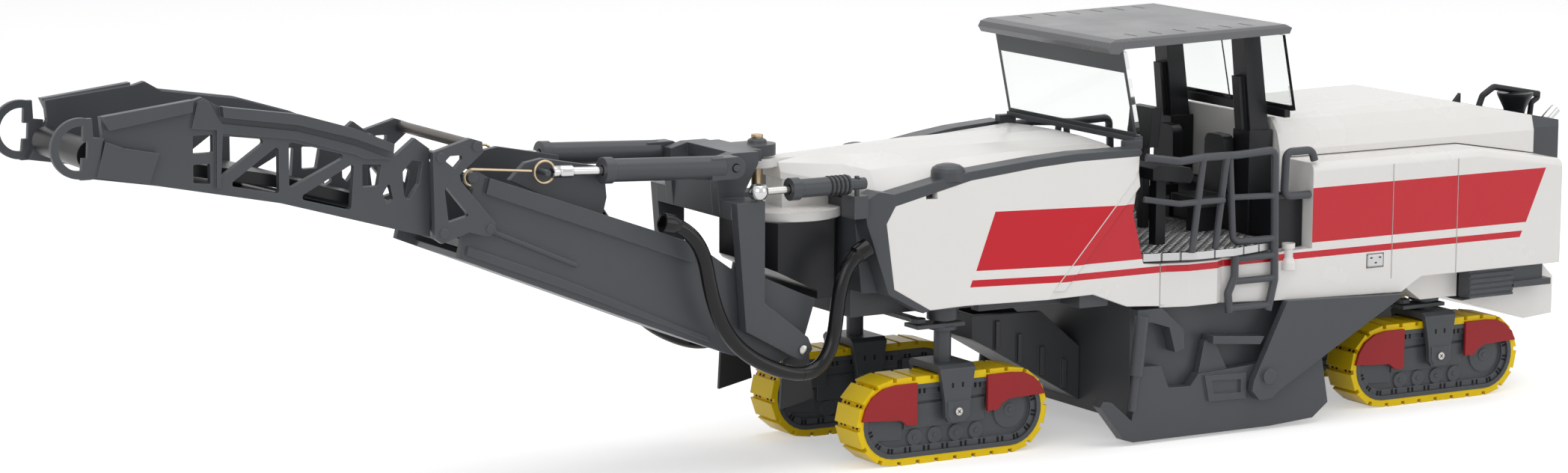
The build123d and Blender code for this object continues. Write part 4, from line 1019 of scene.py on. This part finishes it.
# %% [markdown]
# ## Lift rods and their wires
# Each lift rod is a chrome shaft with a thicker end, and its eye is no plate but a hook bent from
# springy wire. A second wire runs from the hook to a boss at the trough's front corner. A bevelled
# curve could be the wire, but a tube from the same helper as the hoses is one closed mesh at once.
# The solid has a plain ring for the eye, so these finer forms stand in its place. The hook turns
# with the rod, and the long wire stays with the trough.

# %% Turn the lift rods and bend their hooks
lift_side = 6.6
lift_rear = (-23.75, 31.25)
eye_place = (-44.6, 32.2)
lift_length = math.dist(lift_rear, eye_place)
lift_way = Vector((eye_place[0] - lift_rear[0], 0, eye_place[1] - lift_rear[1])).normalized()
back_angle = math.atan2(-lift_way.z, -lift_way.x)
wire_radius = 0.13 * MM
wire_sides = 10
hook_radius = 1.08
hook_points = 20
hook_first = 25
hook_step = 15.8
# Millimetres from the rear pin and radii: the shaft, its thicker end and the groove near its tip
lift_profile = [(9.2, 0.42), (lift_length - 3.0, 0.42), (lift_length - 2.95, 0.6),
                (lift_length - 1.7, 0.6), (lift_length - 1.6, 0.52), (lift_length - 1.5, 0.6),
                (lift_length - 0.9, 0.6), (lift_length - 0.8, 0.5)]


def wire_arc(centre, radius, y, first, step, count):
    """Stations on an arc round a centre in an upright plane, by angles in degrees."""
    angles = [first + math.radians(index * step) for index in range(count)]
    return [station(centre[0] + radius * math.cos(angle), y, centre[1] + radius * math.sin(angle))
            for angle in angles]


rods = bmesh.new()
hooks = bmesh.new()
for side in SIDES.values():
    add_turned(rods, station(lift_rear[0], side * lift_side, lift_rear[1]), lift_way,
               [(distance * MM, radius * MM) for distance, radius in lift_profile])
    hook = wire_arc(eye_place, hook_radius, side * lift_side,
                    back_angle + math.radians(hook_first), hook_step, hook_points)
    add_tube(hooks, hook, [wire_radius] * len(hook), sides=wire_sides)
lift_rods = finish_piece("lift_rod_shafts", rods, "chrome_trim", "lift_rods", smooth=True)
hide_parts("lift_rods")
lift_hooks = finish_piece("lift_rod_hooks", hooks, "brass_pin", "lift_rods", smooth=True)
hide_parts("lift_rods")

# %% Bend the long wires
boss_place = (-52.8, 32.35)
boss_side = 7.36
boss_hook_radius = 0.78
boss_hook_points = 10
boss_hook_first = 80
boss_hook_step = 20
wire_gap = 0.32
wire_rise = 0.2
for hand, side in SIDES.items():
    wire = bmesh.new()
    run = [station(eye_place[0] - hook_radius - wire_gap, side * lift_side,
                   eye_place[1] + wire_rise)]
    run += wire_arc(boss_place, boss_hook_radius, side * boss_side, math.radians(boss_hook_first),
                    boss_hook_step, boss_hook_points)
    add_tube(wire, run, [wire_radius] * len(run), sides=wire_sides)
    finish_piece("lift_wire_" + hand, wire, "brass_pin", "conveyor_rear", smooth=True)

# %% [markdown]
# ## Kingpin and turned parts
# The kingpin shows as a brass shaft between the neck and the bracket, and its slotted screw head
# closes the dome above. A steel shaft joins the fold brackets, and the slew cylinders end in
# small ball eyes. Such forms are turned on a lathe. A Screw modifier spins a profile in the same
# way, but a helper with a short list of distances and radii needs no second object for the axis.

# %% Turn the kingpin and its screw
kingpin_x = -17.0
kingpin_radius = 0.6 * MM
kingpin_foot_z = 27.75
kingpin_length = 3.45 * MM
kingpin = bmesh.new()
add_turned(kingpin, station(kingpin_x, 0, kingpin_foot_z), (0, 0, 1),
           [(0, kingpin_radius), (kingpin_length, kingpin_radius)])
finish_piece("kingpin_sleeve", kingpin, "brass_pin", "slew_bracket", smooth=True)

screw_radius = 0.62 * MM
screw_height = 0.22 * MM
screw_z = 33.08
screw_seat_z = 32.9
slot_angle = 12
slot_step = 19.5
slot_points = 9
screw = bmesh.new()
for half in (-1, 1):
    ring = []
    for step in range(slot_points):
        angle = math.radians(slot_angle + step * slot_step)
        ring.append(station(kingpin_x, 0, screw_z)
                    + Vector((math.cos(angle), half * math.sin(angle), 0)) * screw_radius)
    add_prism(screw, ring, Vector((0, 0, screw_height)))
add_turned(screw, station(kingpin_x, 0, screw_seat_z), (0, 0, 1),
           [(0, kingpin_radius), (screw_height, kingpin_radius)])
finish_piece("kingpin_screw", screw, "brass_pin", "slew_bracket")

# %% Turn the shaft between the fold brackets and the pin heads
fold_pin = (-52.9, 35.5)
fold_radius = 0.54 * MM
fold_half = 7.95
fold_length = 15.9 * MM
fold_shaft = bmesh.new()
add_turned(fold_shaft, station(fold_pin[0], -fold_half, fold_pin[1]), (0, 1, 0),
           [(0, fold_radius), (fold_length, fold_radius)])
finish_piece("fold_shaft", fold_shaft, "dark_steel_and_recess_shade", "conveyor_front", smooth=True)
foot_pin = (-16.74, 12.6)
foot_side = 8.9
foot_head_profile = [(0, 0.5 * MM), (0.12 * MM, 0.5 * MM), (0.18 * MM, 0.42 * MM)]
foot_heads = bmesh.new()
for side in SIDES.values():
    add_turned(foot_heads, station(foot_pin[0], side * foot_side, foot_pin[1]), (0, side, 0),
               foot_head_profile)
finish_piece("foot_pin_heads", foot_heads, "steel_rod", "slew_bracket", smooth=True)

# %% Turn the ball eyes and the ribbed rear ends of the slew cylinders
slew_side = 8.7
slew_eye_x = -21.9
slew_z = 28.9
ball_radius = 1.0 * MM
ball_bore = 0.45 * MM
ball_angles = [math.radians(angle) for angle in range(-44, 45, 11)]
ball_profile = [(math.sin(angle) * ball_radius, math.cos(angle) * ball_radius)
                for angle in ball_angles]
ball_profile += [(ball_profile[-1][0], ball_bore), (ball_profile[0][0], ball_bore)]
rib_count = 5
rib_pitch = 0.5
first_rib_x = -12.0
rib_profile = [(0, 0.9 * MM), (0.06 * MM, 1.04 * MM), (0.22 * MM, 1.04 * MM), (0.28 * MM, 0.9 * MM)]
for hand, side in SIDES.items():
    eye = bmesh.new()
    add_turned(eye, station(slew_eye_x, side * slew_side, slew_z), (0, 0, 1), ball_profile,
               closed=True)
    finish_piece("slew_eye_" + hand, eye, "chrome_trim", "slew_rod_" + hand, smooth=True)
    ribs = bmesh.new()
    for index in range(rib_count):
        place = station(first_rib_x - index * rib_pitch, side * slew_side, slew_z)
        add_turned(ribs, place, (1, 0, 0), rib_profile, closed=True)
    finish_piece("slew_ribs_" + hand, ribs, "black_plastic", "slew_barrel_" + hand, smooth=True)

# %% [markdown]
# ## Latches
# A small silver latch with three dark screws sits low on each side of the rear body, in a thin
# dark edge. It could be part of the body's solid, but it stands less than a fifth of a millimetre
# proud, so a bevelled box on a flat dark plate is enough for it.

# %% Set the latches
body_half = 14.4
latch_corner = station(49.8, 0, 16.35)
latch_far_corner = station(51.9, 0, 17.7)
latch_sink = 0.1
latch_stand = 0.16
latch_bevel = 0.1 * MM
edge_sink = 0.05
edge_stand = 0.04
edge_width = 0.1 * MM
mark_stand = 0.165
screw_places = [(50.25, 17.35), (51.4, 17.35), (50.85, 16.8)]


def latch_box(side, sink, stand, margin):
    """A box at the latch's place, in and out of the body's side, with a margin round its face."""
    mesh = bmesh.new()
    low_y, high_y = span(side, (body_half - sink) * MM, (body_half + stand) * MM)
    add_box(mesh, (latch_corner.x - margin, low_y, latch_corner.z - margin),
            (latch_far_corner.x + margin, high_y, latch_far_corner.z + margin))
    return mesh


for hand, side in SIDES.items():
    latch = latch_box(side, latch_sink, latch_stand, 0)
    bmesh.ops.bevel(latch, geom=latch.edges[:], offset=latch_bevel, segments=3, affect="EDGES")
    finish_piece("side_latch_" + hand, latch, "silver_tread", "root", smooth=True)
    edge = latch_box(side, edge_sink, edge_stand, edge_width)
    finish_piece("latch_edge_" + hand, edge, "dark_steel_and_recess_shade", "root")
    latch_marks = [(station(x, side * (body_half + mark_stand), z), (0, side, 0), (1, 0, 0))
                   for x, z in screw_places]
    repeat_piece("latch_marks_" + hand, pad_tree, latch_marks,
                 {"Length": 0.3, "Width": 0.14, "Height": 0.03}, "dark_mark_and_hole_shade", "root")
